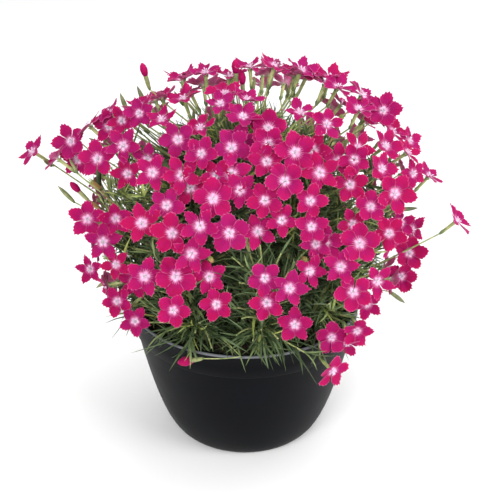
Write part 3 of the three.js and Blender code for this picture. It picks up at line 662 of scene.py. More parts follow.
def potSkin(add):
    look = potLook
    clouds = mottled(add, *look["dust"])
    dusty = add("Math", (clouds, look["dustLevel"]), operation="ADD")
    black = add("ValToRGB", (dusty,), stops=look["dusty"])
    place = add("TexCoord", output="Object")
    peel = add("TexNoise", {"Vector": place, "Scale": look["peelPerMetre"], "Detail": 2.0}, "Fac")
    bump = add("Bump", {"Height": peel, "Strength": look["peelStrength"], "Distance": look["peelDepth"]})
    x, y, z = add("SeparateXYZ", (place,)).node.outputs
    out = add("VectorMath", (add("CombineXYZ", (x, y)),), "Value", operation="LENGTH")
    # painted highlight: a pale band along the lip's rounded outer top edge
    edge = [(potSize["rimRadius"] - inward) / 1000 for inward in look["highlightIn"]]
    high = [(potSize["height"] - down) / 1000 for down in look["highlightDown"]]
    paintedLipHighlight = add("Math", (add("MapRange", (out, *edge, 0.0, look["highlightShare"])), add("MapRange", (z, *high))),
               operation="MULTIPLY")
    return {"Base Color": layered(add, black, [(paintedLipHighlight, look["lip"])]), "Normal": bump,
            "Roughness": add("MapRange", (clouds, -0.5, 0.5, *look["roughness"])),
            "Specular IOR Level": look["specular"]}


# Potting mix: damp peat crumbs with bark; where shade is near 1 it is white perlite.
soilLook = {"patches": [(0.1, "#1C1511"), (0.5, "#33271F"), (0.9, "#4C3A2C")], "patch": (90.0, 0.5, 8.0),
            "perlite": "#CFC9BF", "perliteFrom": (0.9, 0.95), "grainsPerMetre": 420.0, "grainDepth": 0.0012,
            "grainStrength": 0.8, "roughness": 0.92}


def soilSkin(add):
    look = soilLook
    place = add("TexCoord", output="Object")
    grains = add("TexVoronoi", {"Vector": place, "Scale": look["grainsPerMetre"]}, "Distance")
    patchy = add("Math", (mottled(add, *look["patch"]), 0.5), operation="ADD")
    dark = add("ValToRGB", (patchy,), stops=look["patches"])
    white = add("MapRange", (shadeOf(add), *look["perliteFrom"]))
    bump = add("Bump", {"Height": grains, "Strength": look["grainStrength"],
                        "Distance": look["grainDepth"]})
    return {"Base Color": layered(add, dark, [(white, look["perlite"])]), "Normal": bump,
            "Roughness": look["roughness"]}


petalFinishes = [makeMaterial("velvety_petal_face", petalFaceSkin),
                 makeMaterial("dusty_petal_underside", petalBackSkin),
                 makeMaterial("powdery_anther", antherSkin)]
shootFinishes = [makeMaterial("waxy_narrow_leaf", leafSkin), makeMaterial("ribbed_stalk_skin", stalkSkin),
                 petalFinishes[0]]
potFinish = makeMaterial("black_moulded_polypropylene", potSkin)
soilFinish = makeMaterial("damp_potting_mix", soilSkin)
print("materials made")

# Flowers. Sizes are shares of the distance from the eye to a petal's tip; breadth, shoulder and outline go
# from slim to full. A pair for a draw is its least value and what the draw adds at most.
petal = {
    "teeth": 7, "toothDepth": 0.1, "toothIn": 0.6, "toothDraw": (0.15, 1.1), "breadth": (0.57, 0.7),
    "shoulder": (0.5, 0.3), "outline": (1.0, 1.8), "shorter": 0.07, "turnDraw": 0.012,
    "rows": (0.08, 0.24, 0.45, 0.68, 0.88, 1.0), "highlightFrom": 4, "throat": 1.5, "claw": 0.4, "clawDepth": 2.6,
    "bowl": 1.5, "bend": 0.17, "cup": 0.16, "cups": (-0.6, 1), "twist": 0.19, "wave": 0.08,
    "waveTurns": (2.6, 2.4), "pleat": 0.012, "crease": 0.03, "recurve": 0.35, "recurveFrom": 0.6,
    "recurveDraw": (0.6, 0.8), "thick": 0.42, "thinEdge": 0.22,
}
# The top flowers' extra shade makes them more mauve: a painted sheen, as velvet shows at a grazing angle.
lifting = {"from": 250, "over": 30, "cup": 0.3, "ruffle": 1.2, "shade": 0.25}  # of the flowers at the top
anther = {"count": 5, "length": 1.5, "radius": 0.4, "stand": 1.5, "styles": 2, "styleLength": 4.2,
          "out": 0.3, "sunk": 2.4, "styleDraw": (0.7, 0.3), "curl": 2.2, "neckDraw": (0.7, 0.9),
          "splay": 0.9,
          "widths": (0.42, 0.42, 1.0, 0.9, 0.3), "styleRadii": (0.2, 0.2, 0.18, 0.16, 0.12)}

petalColumns = 2 * petal["teeth"] + 1
petalRows = len(petal["rows"]) + 2
petalCount = petalRows * petalColumns
petalV = np.linspace(-1, 1, petalColumns)
petalTeeth = np.where(np.arange(petalColumns) % 2 == 0, -1.0, 1.0)
petalTop = gridFaces(petalRows, petalColumns, False)[:, ::-1]


def petalEdgeFaces():
    numbers = np.arange(petalCount).reshape(petalRows, petalColumns)
    border = np.concatenate([numbers[0], numbers[1:, -1], numbers[-1, -2::-1], numbers[-2:0:-1, 0]])
    after = np.roll(border, -1)
    return np.stack([border, after, after + petalCount, border + petalCount], -1)


# Points on the petal's rim, which get a painted highlight in the face's colour.
petalRimHighlight = np.zeros((petalRows, petalColumns))
petalRimHighlight[-1] = petalRimHighlight[petal["highlightFrom"]:, 0] = petalRimHighlight[petal["highlightFrom"]:, -1] = 1
petalFaces = [(0, petalTop), (1, petalTop[:, ::-1] + petalCount), (0, petalEdgeFaces())]


# One petal as an upper and an under face with a thin toothed edge.
def addPetal(batch, one, number):
    seed = one["index"] * 7 + number
    size, v = one["size"], petalV
    breadth = mix(*petal["breadth"], one["fullness"])
    shoulder, outline = (mix(*petal[key], one["roundness"]) for key in ("shoulder", "outline"))
    smooth = size * (1 - shoulder * np.abs(v) ** outline) * (1 - petal["shorter"] * draw(seed, 21))
    ragged = np.array([drawn(petal["toothDraw"], seed, 60 + k) for k in range(petalColumns)])
    radius = petal["throat"] + (smooth - petal["throat"]) * np.array(petal["rows"])[:, None]
    radius[-1] += size * petal["toothDepth"] * 0.5 * (petalTeeth * ragged - petal["toothIn"])
    inner = np.broadcast_to([[petal["claw"]], [petal["throat"]]], (2, petalColumns))
    radius = np.concatenate([inner, radius])
    share = np.clip(radius / size, 0, 1)
    bowl = share ** petal["bowl"]
    rise = -flower["eyeDip"] + (flower["rise"] * size + flower["eyeDip"]) * bowl
    rise += size * bowl * (petal["bend"] * spread(seed, 22) + petal["cup"] * one["cup"])
    rise += size * share * v * breadth * petal["twist"] * one["hand"] * mix(0.5, 1, draw(seed, 25))
    curled = np.clip(share - petal["recurveFrom"], 0, 1) ** 2
    rise -= size * petal["recurve"] * curled * drawn(petal["recurveDraw"], seed, 26)
    waves = np.sin(v * drawn(petal["waveTurns"], seed, 23) + tau * draw(seed, 24))
    rise += size * petal["wave"] * one["ruffle"] * share ** 2 * waves
    rise += size * petal["pleat"] * share ** 3 * petalTeeth * ragged
    rise += size * petal["crease"] * np.abs(v) * np.sin(np.pi * share)
    rise[0] = -petal["clawDepth"]
    middle = number / flower["petals"] + petal["turnDraw"] * spread(seed, 27)
    turn = middle * tau + v * breadth * np.ones_like(share)
    way = np.cos(turn)[..., None] * one["ahead"] + np.sin(turn)[..., None] * one["side"]
    top = one["place"] + radius[..., None] * way + rise[..., None] * one["facing"]
    under = top - np.linspace(petal["thick"], petal["thinEdge"], petalRows)[:, None, None] * one["facing"]
    points = np.concatenate([top.reshape(-1, 3), under.reshape(-1, 3)])
    marks = np.stack([0.5 + 0.5 * v * np.ones_like(share), radius / size], -1).reshape(-1, 2)
    addPart(batch, points, petalFaces, np.tile(marks, (2, 1)), one["shade"], np.tile(petalRimHighlight.ravel(), 2))


def addStamens(batch, one):
    seed = one["index"]
    facing = one["facing"]
    for k in range(anther["count"] + anther["styles"]):
        turn = (k + 0.7 * draw(seed, 33 + k)) / anther["count"] * tau
        way = one["ahead"] * math.cos(turn) + one["side"] * math.sin(turn)
        foot = one["place"] + way * anther["out"] - facing * anther["sunk"]
        if k >= anther["count"]:
            tall = anther["styleLength"] * drawn(anther["styleDraw"], seed, 40 + k)
            line = bezier(foot, foot + facing * tall * 1.3, foot + facing * tall + way * anther["curl"], 5)
            addRod(batch, line, anther["styleRadii"], 4, 0.0, 2)
            continue
        neck = one["place"] + way * drawn(anther["neckDraw"], seed, 46 + k)
        neck = neck + facing * (anther["stand"] * (0.5 + draw(seed, 40 + k)) - flower["eyeDip"])
        head = unit(facing + way * anther["splay"]) * anther["length"]
        line = [foot, neck, neck + head * 0.25, neck + head * 0.7, neck + head]
        addRod(batch, line, np.array(anther["widths"]) * anther["radius"], 4, 0.0, 2)


def addFlower(batch, one):
    one["side"] = np.cross(one["facing"], one["ahead"])
    one["fullness"] = draw(one["index"], 31) ** 0.6
    one["roundness"] = draw(one["index"], 30) ** 1.4
    one["hand"] = 1 if draw(one["index"], 28) > 0.5 else -1
    lifted = clamp((one["place"][2] - lifting["from"]) / lifting["over"], 0, 1)
    one["cup"] = mix(*petal["cups"], draw(one["index"], 29)) + lifting["cup"] * lifted
    one["ruffle"] = 1 + lifting["ruffle"] * lifted
    # At the top the extra shade is painted sheen, which turns the flower more mauve.
    one["shade"] = draw(one["index"], 32) + lifting["shade"] * lifted
    for number in range(flower["petals"]):
        addPetal(batch, one, number)
    addStamens(batch, one)


for number, group in enumerate(bunches, 1):
    batch = newBatch()
    for one in group["members"]:
        addFlower(batch, one)
    objectFrom(f"flowers_{number:02d}", batch, petalFinishes, [f"blooms_{number:02d}"])
print("flowers made")

# Shoots: leafy stems, stalks, calyxes and buds. Marks lie on the same sheet as the flowers'.
leaf = {"length": 31, "width": 2.3, "thick": 0.45, "thinning": 0.4, "fold": 0.35, "pointFrom": 0.93,
        "lengthDraw": (0.7, 0.65), "widthDraw": (0.6, 0.55), "angleDraw": 0.14, "asideDraw": 0.25,
        "curlOut": 0.6, "curlDown": 1.9, "curlAside": 1.2, "roll": 1.2, "shadeDraw": 0.28,
        "driedOver": 0.95, "driedShade": 1.25}
clear = {"canopy": 7, "overLip": 6, "inRim": 7, "overSoil": 0.5, "pastRim": 2, "onLip": 1}
mainStem = {"shares": (0, 0.3, 0.7, 0.95), "radii": (3.6, 3.6, 2.4, 1.6, 0.9), "sunk": 9, "sides": 10,
            "shade": 0.2}
coreLeaf = {"seed": 18000, "count": 110, "length": 36, "stand": 20, "from": 0.22, "angle": (0.35, 0.3),
            "droop": 0.3, "shade": 0.35}
leafyStem = {"seed": 9000, "perClump": 26, "nodes": 7, "firstNode": 0.18, "lowest": -0.62, "firstTurn": 1.1,
             "depth": (8, 34), "topDepth": (42, 68), "topFrom": 0.42, "longest": 0.7, "bow": 6, "lift": 5,
             "radii": (0.85, 0.5), "fresh": (0.36, 0.4), "paintedLightAbove": 0.3, "tipFresh": 0.12,
             "nodeAgeAndShade": (0.35, 0.65), "lengths": (1.1, -0.45), "lengthDraw": (0.8, 0.4),
             "angles": (0.5, -0.26), "turnDraw": 0.3, "droop": (0.15, 0.35)}
rimLeaf = {"seed": 12000, "count": 130, "length": 28, "width": 2.0, "out": (64, 16), "height": (107, 16),
           "tries": 5, "higher": 3, "aside": 0.9, "turnDraw": 0.8, "angle": (0.66, 0.2),
           "lengthDraw": (0.7, 0.6), "droop": (0.3, 0.9), "shade": (0.22, 0.45)}
groundTuft = {"seed": 14000, "count": 150, "leaves": 7, "ring": (20, 80), "length": 29, "width": 1.9,
              "stand": 1.5, "angle": (0.3, 0.35), "lengthDraw": (0.6, 0.8), "droop": (0.1, 0.9),
              "shade": (0.25, 0.35)}
brightTuft = {"marks": [(-140, 62), (81, 76), (45, 125), (147, -12), (-63, -40), (-118, 60), (0, 78)],
              "seed": 16000, "leaves": 11, "length": 16, "width": 1.9, "depth": 17, "shade": 0.95}
# Leaves deep behind the flowers; their dark shade is painted shade.
darkTuft = {"marks": [(-11, 37), (9, 74), (38, 6), (19, 6), (-29, 32), (-62, 60), (60, 60), (100, 30),
                      (-30, 90), (140, -5), (150, -16), (152, 82), (134, 70), (118, 76), (-144, -14),
                      (-130, 88), (-166, 72), (-157, 62)],
            "seed": 17000, "leaves": 16, "length": 36, "width": 3.2, "depth": 58, "shade": 0.3}
tuftLeaf = {"lift": 0.5, "angle": (0.3, 0.3), "droop": 0.1}
calyx = {"sides": 10, "swell": np.array([0.62, 0.86, 0.97, 1.0, 0.98, 0.96, 0.92]) * 0.78,
         "intoFlower": 0.6, "overPot": 2.5}
# Leaves low on a stalk are darker: partly age, partly painted shade.
stalkLeaf = {"shares": (0.3, 0.62), "lengths": (0.85, -0.45), "lengthDraw": (0.85, 0.3), "angle": 0.36,
             "droop": 0.25, "shades": (0.4, 0.25), "widths": (2.6, -1.1)}
scaleKinds = {
    "teeth": {"count": 5, "back": 1.6, "reach": 2.3, "flare": (1.15, 1.4, 2.4), "width": 1.4,
              "shade": 0.75},
    "calyx": {"count": 4, "back": 0.8, "reach": 5.2, "flare": (0.5, 1.25, 1.15), "width": 1.8,
              "shade": 0.6},
    "bud": {"count": 4, "back": 0.8, "reach": 4.6, "flare": (0.4, 1.1, 1.0), "width": 1.8, "shade": 0.55},
    "dried": {"count": 6, "back": 0, "reach": 4.2, "flare": (1.0, 1.6, 1.3), "width": 1.6, "shade": 0.95},
}
bud = {"pink": (0, 3, 4, 6, 11), "length": 17, "radius": 1.7, "sides": 10, "rowsUnderPetals": 5,
       "shares": np.array([0, 0.12, 0.3, 0.55, 0.75, 0.9, 1.0]), "stem": (0.7, 0.5), "bentStem": 0.7,
       "widths": np.array([0.5, 0.82, 0.98, 1.0, 0.8, 0.42, 0.08]), "dusk": (-0.4, -0.6),
       "driedShade": 1.6, "driedTo": 0.7}
budPetals = {"radii": np.array([0.9, 1.3, 1.5, 1.15, 0.4]), "back": np.array([6.0, 4.2, 1.6, -0.8, -2.6]),
             "grown": 1.1, "bentGrown": 1.4, "sides": 12, "shade": 0.4, "patternFoot": 0.45}
sideBud = {"share": 0.45, "above": 225, "length": 12, "radius": 1.2, "aside": 7.5, "back": (6, 3),
           "startBack": 8, "splay": 0.5, "lift": 0.2}
witheredBud = {"marks": [(58, 98), (100, 138), (-148, 37), (85, 55), (-36, -9), (62, -12), (-161, 50),
                         (-9, 183), (-160, 72)],
               "index": 370, "turnToStand": 0.3, "back": 3, "lift": 0.4, "length": 14, "radius": 1.6}


# Many blades at once. A route is root, knee, tip, shade, width and roll; the section is a shallow V, and a
# blade is widest in its middle.
def addBlades(batch, routes, rings):
    if not routes:
        return
    root, knee, tip, shade, width, roll = (np.array(column, float) for column in zip(*routes))
    count = len(routes)
    share = np.linspace(0, leaf["pointFrom"], rings)
    t = np.append(share, 1.0)[None, :, None]
    line = root[:, None] * (1 - t) ** 2 + knee[:, None] * 2 * t * (1 - t) + tip[:, None] * t * t
    way = (knee - root)[:, None] * (1 - t) + (tip - knee)[:, None] * t
    way /= np.linalg.norm(way, axis=2, keepdims=True)
    across = np.cross(way, upright)
    across /= np.maximum(np.linalg.norm(across, axis=2, keepdims=True), 1e-6)
    over = np.cross(across, way)
    turn = roll[:, None, None] * (0.3 + 0.7 * t)
    cosine, sine = np.cos(turn), np.sin(turn)
    across, over = across * cosine + over * sine, over * cosine - across * sine
    wide = (1 - share ** 3) * (0.5 + 0.5 * np.sin(np.pi * share)) * width[:, None] / 2
    centre, side = line[:, :-1], across[:, :-1] * wide[..., None]
    up = over[:, :-1] * (wide * leaf["fold"])[..., None]
    thick = over[:, :-1] * (leaf["thick"] * (1 - leaf["thinning"] * share))[None, :, None]
    body = np.stack([centre - side + up, centre, centre + side + up, centre - thick], 2)
    points = np.concatenate([body.reshape(count, -1, 3), line[:, -1:]], 1)
    each = rings * 4 + 1
    k = np.arange(4)
    end = np.stack([(rings - 1) * 4 + k, (rings - 1) * 4 + (k + 1) % 4, np.full(4, rings * 4)], -1)
    offsets = (np.arange(count) * each)[:, None, None]
    shapes = (gridFaces(rings, 4, True), end, np.array([[3, 2, 1, 0]]))
    faces = [(0, (some[None] + offsets).reshape(-1, some.shape[1])) for some in shapes]
    mark = np.stack([np.tile([0.0, 0.5, 1.0, 0.5], rings), np.repeat(share, 4)], -1)
    marks = np.tile(np.concatenate([mark, [[0.5, 1.0]]]), (count, 1))
    addPart(batch, points.reshape(-1, 3), faces, marks, np.repeat(shade, each))


def isClear(place):  # inside the flowers' canopy, over the soil and off the pot's lip
    out = math.hypot(place[0], place[1])
    if place[2] > potSize["height"] + clear["overLip"]:
        return out < canopyRadius(place[2]) - clear["canopy"]
    if out < potSize["rimRadius"] - clear["inRim"]:
        return place[2] > soilSize["top"] + clear["overSoil"]
    return out > potSize["rimRadius"] + clear["pastRim"] or place[2] > potSize["height"] + clear["onLip"]


# A leaf's route, listed only where it is clear all along.
def leafRoutes(root, axis, side, angle, length, droop, seed, fresh, width=leaf["width"]):
    half = length * drawn(leaf["lengthDraw"], seed, 13)
    aside = np.cross(axis, side)
    start = unit(mix(axis, side, angle + leaf["angleDraw"] * spread(seed, 12))
                 + aside * leaf["asideDraw"] * spread(seed, 14))
    knee = root + start * half * 0.5
    ending = unit(start + side * leaf["curlOut"] * draw(seed, 15)
                  - upright * droop * leaf["curlDown"] * draw(seed, 16)
                  + aside * leaf["curlAside"] * spread(seed, 7))
    tip = knee + ending * half * 0.5
    if not all(isClear(place) for place in bezier(root, knee, tip, 7)[2:]):
        return []
    shade = clamp(fresh + leaf["shadeDraw"] * spread(seed, 5), 0, 1)
    if draw(seed, 17) > leaf["driedOver"]:
        shade = leaf["driedShade"]
    wide = width * drawn(leaf["widthDraw"], seed, 4)
    return [(root, knee, tip, shade, wide, leaf["roll"] * spread(seed, 6))]


def turnedSide(axis, turn):
    east = squareTo(axis, point(1, 0.3, 0))
    return east * math.cos(turn) + np.cross(axis, east) * math.sin(turn)


def coreRoutes(clump):  # leaves on the clump's main stem, which close the plant's middle
    axis = unit(clump["top"] - clump["foot"])
    routes = []
    for k in range(coreLeaf["count"]):
        seed = coreLeaf["seed"] + 100 * clump["index"] + k
        side = turnedSide(axis, k * goldenTurn)
        share = mix(coreLeaf["from"], 1.0, (k + draw(seed, 1)) / coreLeaf["count"])
        root = mix(clump["foot"], clump["top"], share) + side * coreLeaf["stand"] * draw(seed, 2)
        routes += leafRoutes(root, axis, side, drawn(coreLeaf["angle"], seed, 3), coreLeaf["length"],
                             coreLeaf["droop"], seed, coreLeaf["shade"])
    return routes


def sharedSpots():  # places spread evenly over the canopy, shared out to the clumps under them
    shares = [[] for _ in clumps]
    count = leafyStem["perClump"] * len(clumps)
    for n in range(count):
        level = 1 - (1 - leafyStem["lowest"]) * (n + 0.5) / count
        height = canopy["middle"] + reachTo(level) * level
        spot = around(n * goldenTurn + leafyStem["firstTurn"]) * canopyRadius(height) + upright * height
        shares[nearestClump(spot, clumps)["index"]].append((spot, level, n))
    return shares


# A leafy stem without a flower, with opposite pairs of leaves, each pair square to the last.
def addLeafyStem(batch, clump, spot, level, number):
    seed = leafyStem["seed"] + number * 20
    foot = stalkFoot({"place": spot}, clump)
    way = unit(spot - foot)
    depth = leafyStem["topDepth"] if level > leafyStem["topFrom"] else leafyStem["depth"]
    head = spot - way * min(mix(*depth, draw(seed, 1)), far(spot, foot) * leafyStem["longest"])
    bow = mix(foot, head, 0.5) + outward(spot) * leafyStem["bow"] * spread(seed, 2)
    bow = bow + upright * leafyStem["lift"]
    addRod(batch, bezier(foot, bow, head, 6), np.linspace(*leafyStem["radii"], 6), 5, 0.4, 1)
    # Leaves high on the plant are made lighter with painted light, where the top shoots are backlit.
    fresh = drawn(leafyStem["fresh"], seed, 3) + leafyStem["paintedLightAbove"] * max(level, 0)
    routes = []
    for k in range(leafyStem["nodes"]):
        share = mix(leafyStem["firstNode"], 1.0, k / (leafyStem["nodes"] - 1))
        root = bezier(foot, bow, head, 21)[round(share * 20)]
        # Lower leaves on the stem are darker: partly age, partly painted shade.
        shade = fresh * along(leafyStem["nodeAgeAndShade"], share) + leafyStem["tipFresh"] * (share == 1.0)
        for half in (0, 1):
            one = seed + 2 * k + half
            turn = tau * draw(seed, 8) + k * math.pi / 2 + half * math.pi
            side = turnedSide(way, turn + leafyStem["turnDraw"] * spread(one, 9))
            length = leaf["length"] * along(leafyStem["lengths"], share)
            length *= drawn(leafyStem["lengthDraw"], one, 10)
            routes += leafRoutes(root, way, side, along(leafyStem["angles"], share), length,
                                 drawn(leafyStem["droop"], one, 11), one, shade)
    return routes


looseLeaves = [[] for _ in clumps]  # of the rim, the ground and the tufts, by the clump they stand with


def addRimLeaves():
    for k in range(rimLeaf["count"]):
        seed = rimLeaf["seed"] + k
        way = around((k + rimLeaf["turnDraw"] * draw(seed, 1)) / rimLeaf["count"] * tau)
        clump = nearestClump(way * potSize["rimRadius"] + upright * potSize["height"], clumps)
        aside = unit(way + np.cross(upright, way) * rimLeaf["aside"] * spread(seed, 10))
        angle = drawn(rimLeaf["angle"], seed, 9)
        length = rimLeaf["length"] * drawn(rimLeaf["lengthDraw"], seed, 8)
        droop = drawn(rimLeaf["droop"], seed, 11)
        shade = drawn(rimLeaf["shade"], seed, 12)
        for attempt in range(rimLeaf["tries"]):
            height = drawn(rimLeaf["height"], seed, 3) + rimLeaf["higher"] * attempt
            root = way * drawn(rimLeaf["out"], seed, 2) + upright * height
            found = leafRoutes(root, upright, aside, angle, length, droop, seed, shade, rimLeaf["width"])
            looseLeaves[clump["index"]] += found
            if found:
                break


def addGroundTufts():  # short leaves that hide the soil between the shoots' feet
    for n in range(groundTuft["count"]):
        seed = groundTuft["seed"] + 10 * n
        out = mix(*groundTuft["ring"], math.sqrt(draw(seed, 1)))
        foot = around(n * goldenTurn) * out + upright * (soilSize["top"] - 1)
        clump = min(clumps, key=lambda one: far(one["foot"], foot))
        shade = drawn(groundTuft["shade"], seed, 11)
        for k in range(groundTuft["leaves"]):
            side = turnedSide(upright, k * goldenTurn + tau * draw(seed, 2))
            angle = drawn(groundTuft["angle"], seed + k, 8)
            length = groundTuft["length"] * drawn(groundTuft["lengthDraw"], seed + k, 3)
            looseLeaves[clump["index"]] += leafRoutes(
                foot + side * groundTuft["stand"], upright, side, angle, length,
                drawn(groundTuft["droop"], seed + k, 9), seed + k, shade, groundTuft["width"])


# The deep leaves' dark shade is painted shade.
def addTufts(tuft):  # leaves round chosen places: fresh tips near the flowers, old leaves deep behind them
    for n, mark in enumerate(tuft["marks"]):
        place = seenPlace(mark)
        clump = nearestClump(place, clumps)
        axis = unit(outward(place) + upright * tuftLeaf["lift"])
        root = place + (sight if tuft is darkTuft else -outward(place)) * tuft["depth"]
        for k in range(tuft["leaves"]):
            seed = tuft["seed"] + 40 * n + k
            side = turnedSide(axis, k * goldenTurn)
            looseLeaves[clump["index"]] += leafRoutes(
                root, axis, side, drawn(tuftLeaf["angle"], seed, 1), tuft["length"],
                tuftLeaf["droop"], seed, tuft["shade"], tuft["width"])


def scaleRoutes(axis, place, kind, seed):  # short blades round a place on a stalk
    scale = scaleKinds[kind]
    foot = place - axis * scale["back"]
    routes = []
    for k in range(scale["count"]):
        side = turnedSide(axis, k / scale["count"] * tau + seed)
        root, knee, tip = (foot + axis * scale["reach"] * share + side * flare
                           for share, flare in zip((0, 0.5, 1), scale["flare"]))
        routes.append((root, knee, tip, scale["shade"], scale["width"], 0.0))
    return routes


# The line of a stalk from its clump to the foot of its calyx; some bend over the pot's rim.
def stalkLine(start, foot, axis, bend):
    if bend is not None:
        onRim = mix(start, bend, 0.5) + upright * stalk["rimLift"]
        pastRim = mix(bend, foot, stalk["rimAt"]) + (bend - start) * stalk["rimOn"]
        return np.concatenate([bezier(start, onRim, bend, 6)[:-1], bezier(bend, pastRim, foot, 7)])
    bow = mix(start, foot, stalk["bowAt"]) - axis * far(start, foot) * stalk["bowBack"]
    bow[2] = max(bow[2], potSize["height"] + stalk["overPot"])
    return bezier(start, bow, foot, 8)


# The stalk of a flower, the leaf pairs on it, the calyx tube with its teeth, and the scales at its foot.
def addStalk(batch, one, clump):
    seed = one["index"]
    top = one["place"] - one["facing"] * (flower["depth"] + flower["gap"] - calyx["intoFlower"])
    foot = top - one["facing"] * flower["calyx"]
    if "bend" not in one:
        foot[2] = max(foot[2], potSize["height"] + calyx["overPot"])
    start = stalkFoot(one, clump)
    axis = unit(top - foot)
    stem = stalkLine(start, foot, axis, one.get("bend"))
    radii = np.linspace(stalk["radius"] * stalk["footTimes"], stalk["radius"], len(stem))
    addRod(batch, stem, radii, stalk["sides"], draw(seed, 50), 1)
    widths = np.linspace(flower["calyxFoot"], flower["calyxTop"], 7) * calyx["swell"]
    addRod(batch, bezier(foot, mix(foot, top, 0.5), top, 7), widths, calyx["sides"], draw(seed, 51), 1)
    scales = scaleRoutes(axis, top, "teeth", seed) + scaleRoutes(axis, foot, "calyx", seed)
    way = unit(foot - start)
    routes = []
    for k, share in enumerate(stalkLeaf["shares"]):
        place = stem[round(share * (len(stem) - 1))]
        length = leaf["length"] * along(stalkLeaf["lengths"], share)
        length *= drawn(stalkLeaf["lengthDraw"], seed, 52 + k)
        for half in (0, 1):
            side = turnedSide(way, seed + k * math.pi / 2 + half * math.pi)
            routes += leafRoutes(place, way, side, stalkLeaf["angle"], length, stalkLeaf["droop"],
                                 seed * 4 + k * 2 + half, along(stalkLeaf["shades"], share),
                                 along(stalkLeaf["widths"], share))
    return routes, scales


def addBud(batch, tip, axis, start, length, radius, kind, seed, bend=None):
    foot = tip - axis * length
    line = stalkLine(start, foot, axis, bend)
    shade = bud["driedShade"] if kind == "dry" else draw(seed, 51)
    thinner = 1 if bend is None else bud["bentStem"]
    addRod(batch, line, np.linspace(*bud["stem"], len(line)) * thinner, stalk["sides"], shade, 1)
    shown = len(bud["shares"]) if kind == "green" else bud["rowsUnderPetals"]
    line = foot + axis * (bud["shares"] * length)[:, None]
    skin = shade if kind == "dry" else drawn(bud["dusk"], seed, 53)
    addRod(batch, line[:shown], radius * bud["widths"][:shown], bud["sides"], skin, 1)
    if kind == "pink":
        grown = budPetals["grown"] if bend is None else budPetals["bentGrown"]
        places = tip - axis * (budPetals["back"] * grown)[:, None]
        radii = budPetals["radii"] * radius * grown
        addRod(batch, places, radii, budPetals["sides"], budPetals["shade"], 2, budPetals["patternFoot"])
    if kind == "dry":
        addBlades(batch, scaleRoutes(axis, foot + axis * bud["driedTo"] * length, "dried", seed), 3)
    return scaleRoutes(axis, foot, "bud", seed)


def addSideBud(batch, one):  # a green bud beside an open flower
    seed = one["index"]
    aside = squareTo(one["facing"], point(spread(seed, 91), spread(seed, 92), 0.4))
    axis = unit(one["facing"] + aside * sideBud["splay"] + upright * sideBud["lift"])
    start = one["place"] - one["facing"] * (flower["calyx"] + sideBud["startBack"])
    tip = one["place"] + aside * sideBud["aside"] - one["facing"] * drawn(sideBud["back"], seed, 93)
    return addBud(batch, tip, axis, start, sideBud["length"], sideBud["radius"], "green", seed)


leafySpots = sharedSpots()
addRimLeaves()
addGroundTufts()
addTufts(brightTuft)
addTufts(darkTuft)
withered = [makeFlower(seenPlace(mark), witheredBud["turnToStand"], witheredBud["index"] + n)
            for n, mark in enumerate(witheredBud["marks"])]
for clump in clumps:
    batch = newBatch()
    routes = coreRoutes(clump) + looseLeaves[clump["index"]]
    scales = []
    stem = [mix(clump["foot"], clump["top"], share) for share in mainStem["shares"]]
    stem.insert(0, clump["foot"] - upright * mainStem["sunk"])
    addRod(batch, stem, mainStem["radii"], mainStem["sides"], mainStem["shade"], 1)
    for spot, level, number in leafySpots[clump["index"]]:
        routes += addLeafyStem(batch, clump, spot, level, number)
    for one in clump["flowers"]:
        onStalk, small = addStalk(batch, one, clump)
        routes += onStalk
        scales += small
        if draw(one["index"], 90) < sideBud["share"] and one["place"][2] > sideBud["above"]:
            scales += addSideBud(batch, one)
    for one in withered:
        if nearestClump(one["place"], clumps) is clump:
            tip = one["place"] - one["facing"] * witheredBud["back"]
            axis = unit(one["facing"] + upright * witheredBud["lift"])
            scales += addBud(batch, tip, axis, stalkFoot(one, clump), witheredBud["length"],
                             witheredBud["radius"], "dry", one["index"])
    for one in clump["buds"]:
        kind = "pink" if one["index"] - budIndex in bud["pink"] else "green"
        scales += addBud(batch, one["place"], one["facing"], stalkFoot(one, clump), bud["length"],
                         bud["radius"], kind, one["index"], one.get("bend"))
    addBlades(batch, routes, 5)
    addBlades(batch, scales, 3)
    number = clump["index"] + 1
    objectFrom(f"leafy_shoots_{number:02d}", batch, shootFinishes, [f"shoots_{number:02d}"])
print("shoots made")

# Pot and soil. The pairs of the lip go in from the rim and down from the top.
potBuild = {"sides": 128, "sharpAbove": 32, "flare": ((0.35, 0.42), (0.65, 0.62)),
            "wallShares": (0.0, 0.008, 0.02, 0.04, 0.07, 0.11, 0.17, 0.25, 0.35, 0.47, 0.6, 0.75, 0.9, 1.0),
            "lip": ((0.35, 3.2), (0, 2.4), (-0.05, 1.2), (0.35, 0.35), (1.1, 0), (4.0, 0.1), (4.7, 0.5),
                    (5.0, 1.4)),
            "seamIn": 0.5, "seamUp": 0.05, "collarUp": 0.7, "collarBend": 9, "insideIn": 5.3, "insideUp": 6,
            "floorIn": 4, "baseIn": 3, "underside": 20, "holeSides": 40, "holeCut": 0.02}
soilBuild = {"sides": 96, "rings": 20, "lump": 1.1, "edge": 101.2, "dome": 1.6, "domeIn": 8, "offWall": 0.7,
             "offFloor": 0.3, "offCollar": 0.6, "sideShares": (0.05, 0.1, 0.2, 0.35, 0.52, 0.75, 1.0),
             "sideUp": 0.8, "footIn": 5, "upperSide": (98.5, 100.5), "ringIn": 1.2, "lastRing": 3}
crumb = {"count": 300, "within": 0.97, "length": (0.8, 1.5), "sunk": 0.1, "slope": 1.2,
         "radii": (0.3, 0.6, 0.55, 0.25), "perliteOver": 0.9}


def wallRadius(share):  # of the wall under the collar, at a share of its height
    flare = sum(part * share ** power for part, power in potBuild["flare"])
    return potSize["baseRadius"] + (potSize["wallUnderCollar"] - potSize["baseRadius"]) * flare


